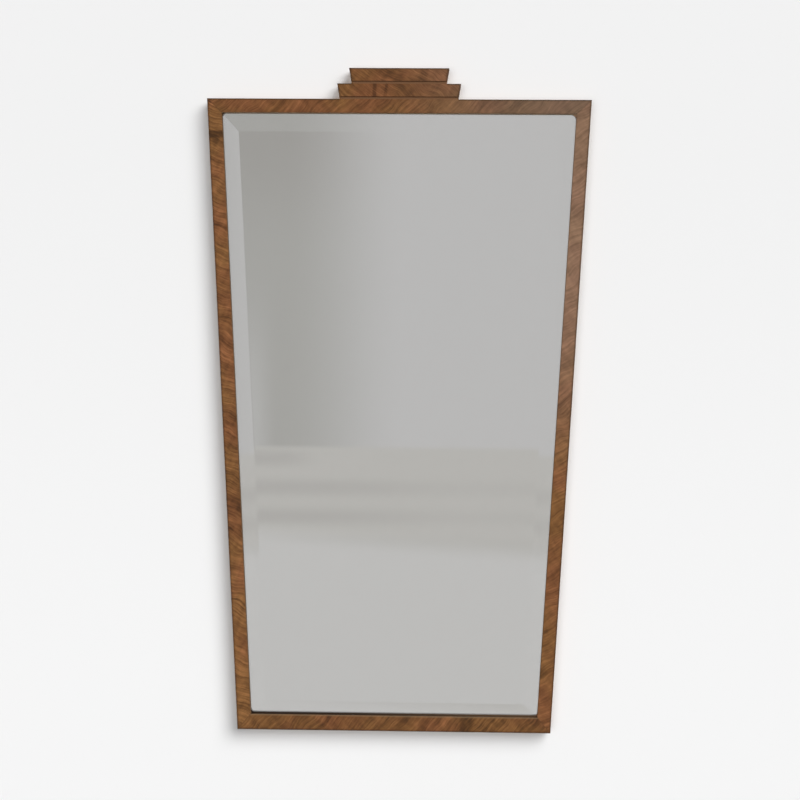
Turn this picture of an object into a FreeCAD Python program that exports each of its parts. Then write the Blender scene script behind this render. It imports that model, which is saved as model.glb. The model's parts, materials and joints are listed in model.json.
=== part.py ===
import FreeCAD, Part
import math
import os
from FreeCAD import Matrix, Vector

# Wall mirror in a tapered, mitred and veneered frame with a stepped crest. Millimetres.
# +X is right as seen from the front, the mirror faces -Y and +Z is up. The wall is the plane y = 0.
# The origin lies on the wall, midway between the two hooks, where the hanger rings bear on them.

# Frame
FRAME_TOP_WIDTH = 480.0
FRAME_BOTTOM_WIDTH = 392.0
FRAME_HEIGHT = 790.0
FRAME_DEPTH = 20.0
FACE_WIDTH = 17.5            # of the top rail and the stiles
BOTTOM_FACE_WIDTH = 19.5
LIP_THICKNESS = 8.0
REBATE_WIDTH = 5.0
VENEER_THICKNESS = 0.9
ARRIS_RADIUS = 0.6
HOOK_DROP = 110.0            # from the frame's top edge down to the hooks

# Crest
UPPER_TIER_TOP_WIDTH = 125.0
UPPER_TIER_FOOT_WIDTH = 118.5
UPPER_TIER_HEIGHT = 19.3
LOWER_TIER_TOP_WIDTH = 154.5
LOWER_TIER_FOOT_WIDTH = 148.0
LOWER_TIER_HEIGHT = 19.3
QUIRK_HEIGHT = 3.0           # the sunk dark line along each tier's foot
QUIRK_DEPTH = 2.0

# Joinery inside the wood
DOWEL_DIAMETER = 6.0
DOWEL_DEPTH_IN_RAIL = 9.0
DOWEL_DEPTH_IN_TIER = 11.0
DOWEL_DEPTH_UNDER_TIER = 8.0
DOWEL_FIT = 0.05             # radial
DOWEL_END_GAP = 0.5
CREST_DOWEL_SHARE = 0.32     # of the lower tier's foot, out from the middle
TIER_DOWEL_SHARE = 0.22
SPLINE_THICKNESS = 2.5
SPLINE_LEG = 19.0
SPLINE_FIT = 0.05

# Glass
GLASS_THICKNESS = 5.0
TOP_BEVEL_WIDTH = 26.5
SIDE_BEVEL_WIDTH = 23.5
BOTTOM_BEVEL_WIDTH = 20.0
BEVEL_DROP = 2.2
SILVER_THICKNESS = 0.2
GLASS_EDGE_GAP = 1.0         # between the glass and the rebate's wall
GLASS_SEAT_GAP = 0.1         # between the bevel and the lip
SETTING_BLOCK_LENGTH = 24.0
SETTING_BLOCK_SHARES = (0.25, 0.75)
SPACER_LENGTH = 24.0
SIDE_SPACER_SHARES = (0.2, 0.8)
TOP_SPACER_SHARES = (0.2, 0.8)

# Battens, their pins and the back panel
BATTEN_WIDTH = 8.0
PIN_DIAMETER = 1.4
PIN_HEAD_DIAMETER = 2.6
PIN_HEAD_HEIGHT = 0.6
PIN_DEPTH_IN_FRAME = 6.0
PIN_FIT = 0.05
PINS_PER_RAIL = 4
PINS_PER_STILE = 5
PANEL_THICKNESS = 4.0
PANEL_GAP = 0.6              # between the panel and the rebate's wall

# Turn buttons and their screws
BUTTON_LENGTH = 22.0
BUTTON_WIDTH = 8.0
BUTTON_THICKNESS = 1.4
BUTTON_EDGE_RADIUS = 0.4
BUTTON_FACE_GAP = 0.2
BUTTON_BORE_FIT = 0.08       # radial, on the screw's shank
MIDDLE_SHARE = 0.5           # of a rail's length
LOWER_BUTTON_SHARE = 0.22    # of the frame's height
UPPER_BUTTON_SHARE = 0.68
SCREW_DIAMETER = 2.8
SCREW_HEAD_DIAMETER = 5.6
SCREW_HEAD_HEIGHT = 1.8
SCREW_LENGTH = 12.0
SCREW_FIT = 0.05
SCREW_TIP_LENGTH = 3.0
SLOT_WIDTH = 0.7
SLOT_DEPTH = 0.8

# Hangers
WIRE_DIAMETER = 2.0
RING_WIDTH = 13.0            # between the wire's centre lines
RING_HEIGHT = 14.0           # from the bar's centre line to the bow's
RING_CORNER_RADIUS = 1.6
RING_REST_GAP = 0.3          # from the bow to the frame's back, hung up
RING_BAR_FIT = 0.06          # radial, in the strap's curl
STRAP_THICKNESS = 0.8
STRAP_WIDTH = 9.2
STRAP_LENGTH = 30.0
RING_SIDE_MARGIN = 0.3       # how far the ring stays behind the frame's outer edge
STRAP_SCREW_DROPS = (9.0, 23.5)
STRAP_HOLE_FIT = 0.1

# Wall pads at the lower corners, which set the frame off the wall
PAD_THICKNESS = 4.5
PAD_DIAMETER = 10.0
PAD_EDGE_RADIUS = 0.6

# What all cuts run past a face, and how near two places count as one
OVERRUN = 1.0
SAME_PLACE = 0.01

# Depths, from the wall forward
WALL_Y = 0.0
BACK_Y = WALL_Y - PAD_THICKNESS
FACE_Y = BACK_Y - FRAME_DEPTH
CORE_FACE_Y = FACE_Y + VENEER_THICKNESS
LIP_BACK_Y = FACE_Y + LIP_THICKNESS
WEB_MIDDLE_Y = (CORE_FACE_Y + BACK_Y) / 2

# Insets, square in from the frame's outer edge
WEB_INSET = (FACE_WIDTH - REBATE_WIDTH) / 2
STRAP_INSET = RING_SIDE_MARGIN + (RING_WIDTH + WIRE_DIAMETER) / 2

# Insets, square in from the opening's edge; those below zero lie under the lip
REBATE_INSET = -REBATE_WIDTH
GLASS_INSET = REBATE_INSET + GLASS_EDGE_GAP

# The glass rests its bevel on the lip's edge, and the steepest bevel touches first
STEEPEST_BEVEL = BEVEL_DROP / min(TOP_BEVEL_WIDTH, SIDE_BEVEL_WIDTH, BOTTOM_BEVEL_WIDTH)
GLASS_EDGE_Y = LIP_BACK_Y + GLASS_SEAT_GAP - GLASS_INSET * STEEPEST_BEVEL
GLASS_FACE_Y = GLASS_EDGE_Y - BEVEL_DROP
GLASS_BACK_Y = GLASS_FACE_Y + GLASS_THICKNESS
SILVER_BACK_Y = GLASS_BACK_Y + SILVER_THICKNESS
PANEL_FACE_Y = BACK_Y - PANEL_THICKNESS
BATTEN_MIDDLE_Y = (SILVER_BACK_Y + PANEL_FACE_Y) / 2

TOP_Z = HOOK_DROP
BASE_Z = TOP_Z - FRAME_HEIGHT
OPENING_TOP_Z = TOP_Z - FACE_WIDTH
OPENING_BASE_Z = BASE_Z + BOTTOM_FACE_WIDTH
RIDGE_TOP_Z = OPENING_TOP_Z - GLASS_INSET - TOP_BEVEL_WIDTH
RIDGE_BASE_Z = OPENING_BASE_Z + GLASS_INSET + BOTTOM_BEVEL_WIDTH
LOWER_TIER_TOP_Z = TOP_Z + LOWER_TIER_HEIGHT
UPPER_TIER_TOP_Z = LOWER_TIER_TOP_Z + UPPER_TIER_HEIGHT

# The ring's bar lies in the strap's curl, which rests on the frame's back
CURL_BORE_RADIUS = WIRE_DIAMETER / 2 + RING_BAR_FIT
CURL_RADIUS = CURL_BORE_RADIUS + STRAP_THICKNESS
RING_AXIS_Y = BACK_Y + CURL_RADIUS
RING_LEAN = math.asin((CURL_RADIUS - WIRE_DIAMETER / 2 - RING_REST_GAP) / RING_HEIGHT)
RING_AXIS_Z = WIRE_DIAMETER / 2 - RING_HEIGHT * math.cos(RING_LEAN)

made = {}


def prism(points, y_front, y_back):
    """A flat piece: an outline of (x, z) points from y_front back to y_back."""
    corners = [Vector(x, y_front, z) for x, z in points]
    face = Part.Face(Part.makePolygon(corners + corners[:1]))
    return face.extrude(Vector(0, y_back - y_front, 0))


def rod(radius, start, direction, length):
    return Part.makeCylinder(radius, length, start, direction)


def joined(shapes):
    """One solid from pieces that meet."""
    whole = shapes[0].fuse(shapes[1:]).removeSplitter()
    return whole.Solids[0] if len(whole.Solids) == 1 else whole


def edges_at(shape, y):
    """The edges that lie all in one plane across the depth."""
    reach = [(edge, edge.BoundBox) for edge in shape.Edges]
    return [edge for edge, box in reach if max(abs(box.YMin - y), abs(box.YMax - y)) < SAME_PLACE]


def turned(profile, centre):
    """A piece turned about the Y axis from a closed wire drawn in radius (x) and depth (y)."""
    solid = Part.Face(profile).revolve(Vector(0, 0, 0), Vector(0, 1, 0), 360)
    solid.translate(centre)
    return solid


def bar(outer_ends, inner_ends, y_front, y_back):
    """A mitred bar between two lines, each given by its two ends."""
    return prism([*outer_ends, *inner_ends[::-1]], y_front, y_back)


class Taper:
    """An outline that widens evenly from its foot to its top, with pieces set in from its edges."""

    SIDES = ("top", "right", "bottom", "left")

    def __init__(self, top_width, foot_width, foot_z, height):
        self.top_width = top_width
        self.foot_z = foot_z
        self.top_z = foot_z + height
        self.slope = (top_width - foot_width) / 2 / height
        self.lean = math.atan(self.slope)

    def half_width(self, z, inset=0):
        """Half the width at height z between lines set in square from the slanted edges."""
        return self.top_width / 2 - (self.top_z - z) * self.slope - inset / math.cos(self.lean)

    def corners(self, inset=0):
        """The outline set in all round: top left, top right, bottom right, bottom left."""
        high = self.top_z - inset
        low = self.foot_z + inset
        top = self.half_width(high, inset)
        foot = self.half_width(low, inset)
        return [(-top, high), (top, high), (foot, low), (-foot, low)]

    def side_ends(self, side, inset):
        """The two corners of one side, clockwise as seen from the front."""
        start = self.SIDES.index(side)
        corners = self.corners(inset)
        return corners[start], corners[(start + 1) % len(corners)]

    def band(self, low, high, inset=0):
        """The outline between two heights."""
        top = self.half_width(high, inset)
        foot = self.half_width(low, inset)
        return [(-top, high), (top, high), (foot, low), (-foot, low)]

    def along(self, side, share, inset=0):
        """A point at a share of one side's length, set in from it, and the way inwards from there."""
        start, end = (Vector(x, 0, z) for x, z in self.side_ends(side, inset))
        run = (end - start).normalize()
        inward = Vector(0, 1, 0).cross(run)
        return start + (end - start) * share, inward, run


frame = Taper(FRAME_TOP_WIDTH, FRAME_BOTTOM_WIDTH, BASE_Z, FRAME_HEIGHT)
opening = Taper(2 * frame.half_width(OPENING_TOP_Z, FACE_WIDTH),
                2 * frame.half_width(OPENING_BASE_Z, FACE_WIDTH),
                OPENING_BASE_Z, OPENING_TOP_Z - OPENING_BASE_Z)
lower_tier = Taper(LOWER_TIER_TOP_WIDTH, LOWER_TIER_FOOT_WIDTH, TOP_Z, LOWER_TIER_HEIGHT)
upper_tier = Taper(UPPER_TIER_TOP_WIDTH, UPPER_TIER_FOOT_WIDTH, LOWER_TIER_TOP_Z, UPPER_TIER_HEIGHT)
MEMBERS = {"top": "top_rail", "right": "right_stile", "bottom": "bottom_rail", "left": "left_stile"}


def corner_spline(index, fit):
    """A feather let into one mitre from the outer corner, grown by a fit for its slot."""
    points = [Vector(x, 0, z) for x, z in frame.corners(VENEER_THICKNESS)]
    corner = points[index]
    before = points[index - 1]
    after = points[(index + 1) % len(points)]
    ends = [corner + (p - corner).normalize() * SPLINE_LEG for p in (before, after)]
    y_front = WEB_MIDDLE_Y - SPLINE_THICKNESS / 2 - fit
    return prism([(p.x, p.z) for p in (corner, *ends)], y_front, y_front + SPLINE_THICKNESS + 2 * fit)


def dowel_places(share, tier):
    reach = share * 2 * tier.half_width(tier.foot_z)
    return [Vector(side * reach, WEB_MIDDLE_Y, tier.foot_z - VENEER_THICKNESS) for side in (-1, 1)]


def dowel(place, below, above, radius):
    return rod(radius, place - Vector(0, 0, below), Vector(0, 0, 1), below + above)


def dowel_sets():
    """The dowels' places with how far each reaches below and above its joint."""
    rail = dowel_places(CREST_DOWEL_SHARE, lower_tier)
    tier = dowel_places(TIER_DOWEL_SHARE, upper_tier)
    return ([(place, DOWEL_DEPTH_IN_RAIL, DOWEL_DEPTH_IN_TIER) for place in rail],
            [(place, DOWEL_DEPTH_UNDER_TIER, DOWEL_DEPTH_IN_TIER) for place in tier])


def dowels(places):
    shorter = DOWEL_END_GAP
    return [dowel(p, below - shorter, above - shorter, DOWEL_DIAMETER / 2) for p, below, above in places]


def dowel_holes(places):
    return [dowel(p, below, above, DOWEL_DIAMETER / 2 + DOWEL_FIT) for p, below, above in places]


def pin_places(side):
    """Where a member's panel pins start, on the batten's inner side, and the way they are driven."""
    count = PINS_PER_RAIL if side in ("top", "bottom") else PINS_PER_STILE
    places = []
    for i in range(count):
        point, inward, run = opening.along(side, (i + 0.5) / count, REBATE_INSET + BATTEN_WIDTH)
        places.append((point + Vector(0, BATTEN_MIDDLE_Y, 0), inward * -1))
    return places


def panel_pin(place, way):
    head = rod(PIN_HEAD_DIAMETER / 2, place - way * PIN_HEAD_HEIGHT, way, PIN_HEAD_HEIGHT)
    return joined([head, rod(PIN_DIAMETER / 2, place, way, BATTEN_WIDTH + PIN_DEPTH_IN_FRAME)])


def pin_hole(place, way):
    length = BATTEN_WIDTH + PIN_DEPTH_IN_FRAME + OVERRUN
    return rod(PIN_DIAMETER / 2 + PIN_FIT, place - way * OVERRUN, way, length + OVERRUN)


def wood_screw(place, seat_height):
    """A round-headed screw in from the back, its head's underside seat_height off the wood."""
    head = SCREW_HEAD_DIAMETER / 2
    shank = SCREW_DIAMETER / 2
    tip = seat_height - SCREW_LENGTH
    top = seat_height + SCREW_HEAD_HEIGHT
    dome_radius = (head ** 2 + SCREW_HEAD_HEIGHT ** 2) / (2 * SCREW_HEAD_HEIGHT)
    half_turn = math.asin(head / dome_radius) / 2
    dome_foot = top - dome_radius
    dome_middle = Vector(dome_radius * math.sin(half_turn), dome_foot + dome_radius * math.cos(half_turn), 0)
    points = [Vector(0, top, 0), Vector(0, tip, 0), Vector(shank, tip + SCREW_TIP_LENGTH, 0),
              Vector(shank, seat_height, 0), Vector(head, seat_height, 0)]
    edges = [Part.makeLine(a, b) for a, b in zip(points, points[1:])]
    edges.append(Part.Arc(points[-1], dome_middle, points[0]).toShape())
    screw = turned(Part.Wire(edges), place)
    slot_corner = place + Vector(-SLOT_WIDTH / 2, top - SLOT_DEPTH, -head)
    slot = Part.makeBox(SLOT_WIDTH, SLOT_DEPTH + OVERRUN, SCREW_HEAD_DIAMETER, slot_corner)
    return screw.cut(slot)


def screw_hole(place, fit=SCREW_FIT):
    """A hole about a screw's shank, from past its tip to just under its head."""
    depth = SCREW_LENGTH + OVERRUN
    height = BUTTON_THICKNESS + BUTTON_FACE_GAP + OVERRUN
    return rod(SCREW_DIAMETER / 2 + fit, place - Vector(0, depth, 0), Vector(0, 1, 0), depth + height)


def button_places():
    """Each turn button's pivot on the frame's back and the way its tail points."""
    spots = {"top": ("top", MIDDLE_SHARE), "bottom": ("bottom", MIDDLE_SHARE)}
    for name, share in (("lower", LOWER_BUTTON_SHARE), ("upper", UPPER_BUTTON_SHARE)):
        spots["left_" + name] = ("left", share)
        spots["right_" + name] = ("right", 1 - share)
    places = {}
    for name, (side, share) in spots.items():
        point, inward, run = frame.along(side, share, WEB_INSET)
        places[name] = (point + Vector(0, BACK_Y, 0), inward, run)
    return places


def turn_button(place, inward, run):
    """A flat button with round ends, pivoted near its outer end, its tail over the panel."""
    half = BUTTON_WIDTH / 2
    reach = BUTTON_LENGTH - BUTTON_WIDTH
    start = place + Vector(0, BUTTON_FACE_GAP, 0)
    end = start + inward * reach
    edges = []
    for centre, way in ((end, 1), (start, -1)):
        across = run * half * way
        tip = centre + inward * half * way
        edges.append(Part.Arc(centre + across, tip, centre - across).toShape())
        edges.append(Part.makeLine(centre - across, start + end - centre - across))
    face = Part.Face(Part.Wire(edges))
    plate = face.extrude(Vector(0, BUTTON_THICKNESS, 0))
    plate = plate.makeFillet(BUTTON_EDGE_RADIUS, edges_at(plate, start.y + BUTTON_THICKNESS))
    return plate.cut(screw_hole(place, BUTTON_BORE_FIT))


def hanger_x(side):
    return side * (frame.half_width(RING_AXIS_Z) - STRAP_INSET)


def strap_screw_places(side):
    return [Vector(hanger_x(side), BACK_Y, RING_AXIS_Z - drop) for drop in STRAP_SCREW_DROPS]


def hanger_strap(side):
    """A brass strip with a round foot, curled over at the top round the ring's bar."""
    half = STRAP_WIDTH / 2
    foot = RING_AXIS_Z - STRAP_LENGTH + half
    axis = Vector(hanger_x(side), 0, 0)
    leaf = prism([(axis.x - half, RING_AXIS_Z), (axis.x + half, RING_AXIS_Z), (axis.x + half, foot),
                  (axis.x - half, foot)], BACK_Y, BACK_Y + STRAP_THICKNESS)
    toe = rod(half, Vector(axis.x, BACK_Y, foot), Vector(0, 1, 0), STRAP_THICKNESS)
    curl_start = Vector(axis.x - half, RING_AXIS_Y, RING_AXIS_Z)
    curl = rod(CURL_RADIUS, curl_start, Vector(1, 0, 0), STRAP_WIDTH)
    bore_start = curl_start - Vector(OVERRUN, 0, 0)
    bore = rod(CURL_BORE_RADIUS, bore_start, Vector(1, 0, 0), STRAP_WIDTH + 2 * OVERRUN)
    holes = [screw_hole(place, STRAP_HOLE_FIT) for place in strap_screw_places(side)]
    return joined([leaf, toe, curl]).cut([bore] + holes)


def hanger_ring(side):
    """A closed wire bow on a straight bar, leaning back against the frame."""
    half = RING_WIDTH / 2
    corner = RING_CORNER_RADIUS
    short = corner * (1 - math.sqrt(0.5))
    shoulder = RING_HEIGHT - half
    right = [Vector(half - corner, 0, 0), Vector(half - short, 0, short), Vector(half, 0, corner),
             Vector(half, 0, shoulder)]
    left = [Vector(-p.x, 0, p.z) for p in right]
    bow_top = Vector(0, 0, RING_HEIGHT)
    edges = [Part.makeLine(left[0], right[0]), Part.Arc(*right[:3]).toShape(),
             Part.makeLine(right[2], right[3]), Part.Arc(right[3], bow_top, left[3]).toShape(),
             Part.makeLine(left[3], left[2]), Part.Arc(left[2], left[1], left[0]).toShape()]
    path = Part.Wire(edges)
    section = Part.Wire(Part.makeCircle(WIRE_DIAMETER / 2, Vector(0, 0, 0), Vector(1, 0, 0)))
    ring = path.makePipeShell([section], True, False)
    place = Matrix()
    place.rotateX(RING_LEAN)
    place.move(Vector(hanger_x(side), RING_AXIS_Y, RING_AXIS_Z))
    ring.transformShape(place)
    return ring


def wood_parts():
    """The four mitred members, rebated behind, with their slots and holes."""
    rail_dowels, tier_dowels = dowel_sets()
    slots = [corner_spline(i, SPLINE_FIT) for i in range(len(frame.corners()))]
    screws = [screw_hole(place) for place, inward, run in button_places().values()]
    screws += [screw_hole(place) for side in (-1, 1) for place in strap_screw_places(side)]
    for side, name in MEMBERS.items():
        outer_ends = frame.side_ends(side, VENEER_THICKNESS)
        lip = bar(outer_ends, opening.side_ends(side, 0), CORE_FACE_Y, LIP_BACK_Y)
        web = bar(outer_ends, opening.side_ends(side, REBATE_INSET), LIP_BACK_Y, BACK_Y)
        pins = [pin_hole(place, way) for place, way in pin_places(side)]
        cuts = slots + screws + pins + dowel_holes(rail_dowels)
        made[name] = joined([lip, web]).cut(cuts)
    splines = [corner_spline(i, 0) for i in range(len(frame.corners()))]
    made["corner_splines"] = Part.makeCompound(splines)


def face_veneers():
    for side, name in MEMBERS.items():
        sheet = bar(frame.side_ends(side, 0), opening.side_ends(side, 0), FACE_Y, CORE_FACE_Y)
        longest_mitre = 2 * max(FACE_WIDTH, BOTTOM_FACE_WIDTH)
        arrises = [e for e in edges_at(sheet, FACE_Y) if e.Length > longest_mitre]
        made[name + "_veneer"] = sheet.makeFillet(ARRIS_RADIUS, arrises)


def edge_bandings():
    """Veneer strips on the frame's outer edges; the crest interrupts the top one."""
    crest_foot = prism(lower_tier.band(TOP_Z - VENEER_THICKNESS - OVERRUN, TOP_Z + OVERRUN), FACE_Y, WALL_Y)
    for side in frame.SIDES:
        ends = [frame.side_ends(side, inset) for inset in (0, VENEER_THICKNESS)]
        strip = bar(*ends, CORE_FACE_Y, BACK_Y)
        made[side + "_edge_banding"] = strip.cut(crest_foot) if side == "top" else strip


def quirk(tier):
    """What the sunk line takes away: a shallow strip across the front, along the tier's foot."""
    outline = tier.band(tier.foot_z, tier.foot_z + QUIRK_HEIGHT, -OVERRUN)
    return prism(outline, FACE_Y - OVERRUN, FACE_Y + QUIRK_DEPTH)


def tier_bandings(tier, above):
    """Strips on a tier's slanted sides, and on its top where no other tier stands."""
    foot = tier.foot_z - VENEER_THICKNESS
    top = tier.top_z - VENEER_THICKNESS
    inside = prism(tier.band(foot - OVERRUN, top + OVERRUN, VENEER_THICKNESS), FACE_Y, WALL_Y)
    sides = prism(tier.band(foot, top), CORE_FACE_Y, BACK_Y).cut([inside, quirk(tier)])
    cap = prism(tier.band(top, tier.top_z), CORE_FACE_Y, BACK_Y)
    if above:
        cap = cap.cut(prism(above.band(top - OVERRUN, tier.top_z + OVERRUN), FACE_Y, WALL_Y))
    return Part.makeCompound(sides.Solids + cap.Solids)


def crest():
    """Two stacked tiers: block, face veneer and bandings each, with a sunk line along the foot."""
    rail_dowels, tier_dowels = dowel_sets()
    for name, tier, above in (("lower", lower_tier, upper_tier), ("upper", upper_tier, None)):
        outline = tier.band(tier.foot_z - VENEER_THICKNESS, tier.top_z - VENEER_THICKNESS, VENEER_THICKNESS)
        block = prism(outline, CORE_FACE_Y, BACK_Y)
        made[f"crest_{name}_block"] = block.cut([quirk(tier)] + dowel_holes(rail_dowels + tier_dowels))
        face = prism(tier.band(tier.foot_z + QUIRK_HEIGHT, tier.top_z), FACE_Y, CORE_FACE_Y)
        made[f"crest_{name}_veneer"] = face.makeFillet(ARRIS_RADIUS, edges_at(face, FACE_Y))
        made[f"crest_{name}_banding"] = tier_bandings(tier, above)
    made["crest_dowels"] = Part.makeCompound(dowels(rail_dowels))
    made["tier_dowels"] = Part.makeCompound(dowels(tier_dowels))


def bevelled_plate():
    """The glass: a flat back, upright edges and a bevel all round up to the flat of the face."""
    edge = opening.corners(GLASS_INSET)
    ridge = opening.band(RIDGE_BASE_Z, RIDGE_TOP_Z, GLASS_INSET + SIDE_BEVEL_WIDTH)
    rings = [(edge, GLASS_BACK_Y), (edge, GLASS_EDGE_Y), (ridge, GLASS_FACE_Y)]
    loops = [[Vector(x, y, z) for x, z in corners] for corners, y in rings]
    outlines = [loops[0], loops[-1]]
    for near, far in zip(loops, loops[1:]):
        for i in range(len(near)):
            j = (i + 1) % len(near)
            outlines.append([near[i], near[j], far[j], far[i]])
    faces = [Part.Face(Part.makePolygon(points + points[:1])) for points in outlines]
    return Part.makeSolid(Part.makeShell(faces))


def spacer(side, share, length):
    """A slip that fills the gap between the glass's edge and the rebate's wall."""
    outer, inward, run = opening.along(side, share, REBATE_INSET)
    inner = outer + inward * GLASS_EDGE_GAP
    half = run * length / 2
    ends = [outer + half, outer - half, inner - half, inner + half]
    return prism([(p.x, p.z) for p in ends], LIP_BACK_Y, SILVER_BACK_Y)


def glazing():
    made["mirror_glass"] = bevelled_plate()
    made["silver_backing"] = prism(opening.corners(GLASS_INSET), GLASS_BACK_Y, SILVER_BACK_Y)
    blocks = [spacer("bottom", s, SETTING_BLOCK_LENGTH) for s in SETTING_BLOCK_SHARES]
    made["setting_blocks"] = Part.makeCompound(blocks)
    slips = [spacer(side, s, SPACER_LENGTH) for side in ("left", "right") for s in SIDE_SPACER_SHARES]
    slips += [spacer("top", s, SPACER_LENGTH) for s in TOP_SPACER_SHARES]
    made["glass_spacers"] = Part.makeCompound(slips)
    pins = []
    for side in frame.SIDES:
        ends = [opening.side_ends(side, inset) for inset in (REBATE_INSET, REBATE_INSET + BATTEN_WIDTH)]
        strip = bar(*ends, SILVER_BACK_Y, PANEL_FACE_Y)
        places = pin_places(side)
        made[side + "_batten"] = strip.cut([pin_hole(place, way) for place, way in places])
        pins += [panel_pin(place, way) for place, way in places]
    made["batten_pins"] = Part.makeCompound(pins)
    made["back_panel"] = prism(opening.corners(REBATE_INSET + PANEL_GAP), PANEL_FACE_Y, BACK_Y)


def back_hardware():
    screw_seat = BUTTON_THICKNESS + 2 * BUTTON_FACE_GAP
    screws = []
    for name, (place, inward, run) in button_places().items():
        made["turn_button_" + name] = turn_button(place, inward, run)
        screws.append(wood_screw(place, screw_seat))
        print("turn_button_" + name, "pivot", round(place.x, 4), round(place.z, 4))
    made["turn_button_screws"] = Part.makeCompound(screws)
    screws = []
    for name, side in (("left", -1), ("right", 1)):
        made[name + "_hanger_strap"] = hanger_strap(side)
        made[name + "_hanger_ring"] = hanger_ring(side)
        screws += [wood_screw(place, STRAP_THICKNESS) for place in strap_screw_places(side)]
        axis = (hanger_x(side), RING_AXIS_Y, RING_AXIS_Z)
        print(name + "_hanger_ring", "axis", [round(value, 4) for value in axis])
    made["hanger_screws"] = Part.makeCompound(screws)
    pads = []
    for side in (-1, 1):
        low = BASE_Z + WEB_INSET
        centre = Vector(side * frame.half_width(low, WEB_INSET), BACK_Y, low)
        disc = rod(PAD_DIAMETER / 2, centre, Vector(0, 1, 0), PAD_THICKNESS)
        pads.append(disc.makeFillet(PAD_EDGE_RADIUS, edges_at(disc, WALL_Y)))
        print("wall_pad", "centre", round(centre.x, 4), round(centre.z, 4))
    made["wall_pads"] = Part.makeCompound(pads)


wood_parts()
face_veneers()
edge_bandings()
crest()
glazing()
back_hardware()

os.makedirs("parts", exist_ok=True)
for name, shape in made.items():
    if not shape.isValid():
        print("not valid:", name)
    shape.exportStep(f"parts/{name}.step")
print(len(made), "nodes,", sum(len(shape.Solids) for shape in made.values()), "solids")
print("ring lean", round(math.degrees(RING_LEAN), 3), "glass face y", round(GLASS_FACE_Y, 3))
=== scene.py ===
# %% [markdown]
# # A wall mirror in a tapered, veneered frame
#
# The mirror is a bevelled glass in a narrow frame that widens upwards, with a stepped crest on its top
# rail. The solids of the real construction are loaded first and never moved. What is made here is how
# they look: each piece that shows is modelled again by hand, at the same place, and each piece that is
# kept gets a finish. Everything is in metres. +X is right as seen from the front, the glass faces -Y, and
# the wall is the plane y = 0.

# %% Load the solids and keep their box
import json
import math

import bmesh
import bpy
from mathutils import Matrix, Vector


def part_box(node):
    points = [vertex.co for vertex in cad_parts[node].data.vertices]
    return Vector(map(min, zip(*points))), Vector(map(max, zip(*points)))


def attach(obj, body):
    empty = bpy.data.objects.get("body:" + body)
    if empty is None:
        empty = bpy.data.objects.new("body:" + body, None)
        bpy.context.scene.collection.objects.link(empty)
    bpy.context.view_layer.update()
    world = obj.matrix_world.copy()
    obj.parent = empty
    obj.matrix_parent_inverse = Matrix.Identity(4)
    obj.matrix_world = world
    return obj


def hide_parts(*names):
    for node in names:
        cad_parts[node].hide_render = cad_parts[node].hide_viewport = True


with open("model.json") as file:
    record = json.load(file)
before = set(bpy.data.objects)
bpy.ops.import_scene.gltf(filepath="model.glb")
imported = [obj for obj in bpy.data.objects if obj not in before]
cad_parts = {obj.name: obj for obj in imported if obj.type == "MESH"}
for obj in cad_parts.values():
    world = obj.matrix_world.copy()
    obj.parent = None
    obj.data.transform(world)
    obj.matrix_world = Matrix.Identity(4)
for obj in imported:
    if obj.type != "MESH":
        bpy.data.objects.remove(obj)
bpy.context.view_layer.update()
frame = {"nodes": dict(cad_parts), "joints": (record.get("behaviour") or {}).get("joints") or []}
nodes = frame["nodes"]
MM = 0.001
NEAR = 0.01 * MM            # how close two places are when they count as one

# %% [markdown]
# ## Sizes that all pieces share
#
# A maker takes sizes off the carcass before cutting a veneer for it. The same is done here: every place
# below is read from the box of a solid, so that a new piece can't drift from the one it dresses.

# %% Read the sizes from the solids
FACE_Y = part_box("top_rail_veneer")[0].y
CORE_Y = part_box("top_rail")[0].y
BACK_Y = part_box("top_rail")[1].y
LIP_BACK_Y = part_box("setting_blocks")[0].y
VENEER = CORE_Y - FACE_Y
TOP_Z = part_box("top_rail_veneer")[1].z
FOOT_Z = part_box("bottom_rail_veneer")[0].z
OPENING_TOP_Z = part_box("top_rail_veneer")[0].z
OPENING_FOOT_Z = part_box("bottom_rail_veneer")[1].z
REBATE_INSET = OPENING_TOP_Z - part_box("top_batten")[1].z
GLASS_INSET = OPENING_TOP_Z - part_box("mirror_glass")[1].z
print("top rail", round((TOP_Z - OPENING_TOP_Z) / MM, 1), "mm wide")
print("veneer", round(VENEER / MM, 2), "mm thick")


def widest(node, height):
    """The largest x of a solid's corners at one height."""
    return max(v.co.x for v in nodes[node].data.vertices if abs(v.co.z - height) < NEAR)


# %% [markdown]
# ## The tapered outline
#
# The frame, its opening and both tiers of the crest are the same kind of shape: level at top and foot,
# with sides that lean outwards. One small class holds such a shape and answers what a maker asks of it:
# how wide it is at a height, and where a line set in from the edge runs. The bottom rail is a little
# wider than the others, so a mitre is the line from a corner of the frame to the same corner of the
# opening.

# %% The outline class
class Outline:
    SIDES = ("top", "right", "bottom", "left")

    def __init__(self, top_half, foot_half, top, foot):
        self.top_half, self.foot_half, self.top, self.foot = top_half, foot_half, top, foot
        self.slope = (top_half - foot_half) / (top - foot)
        self.lean = math.atan(self.slope)

    def half_width(self, z, inset=0.0):
        return self.top_half - (self.top - z) * self.slope - inset / math.cos(self.lean)

    def corner(self, index, inset=0.0):
        """Corners clockwise from the top left, as seen from the front."""
        z = self.top - inset if index in (0, 1) else self.foot + inset
        side = -1 if index in (0, 3) else 1
        return Vector((side * self.half_width(z, inset), 0, z))

    def ends(self, side, inset=0.0):
        index = self.SIDES.index(side)
        return self.corner(index, inset), self.corner((index + 1) % 4, inset)

    def run(self, side, inset=0.0):
        """The way along a side."""
        start, end = self.ends(side, inset)
        return (end - start).normalized()

    def edge(self, side, inset=0.0):
        """A point on a side, and the way inwards from it."""
        return self.ends(side, inset)[0], Vector((0, 1, 0)).cross(self.run(side, inset))


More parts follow.
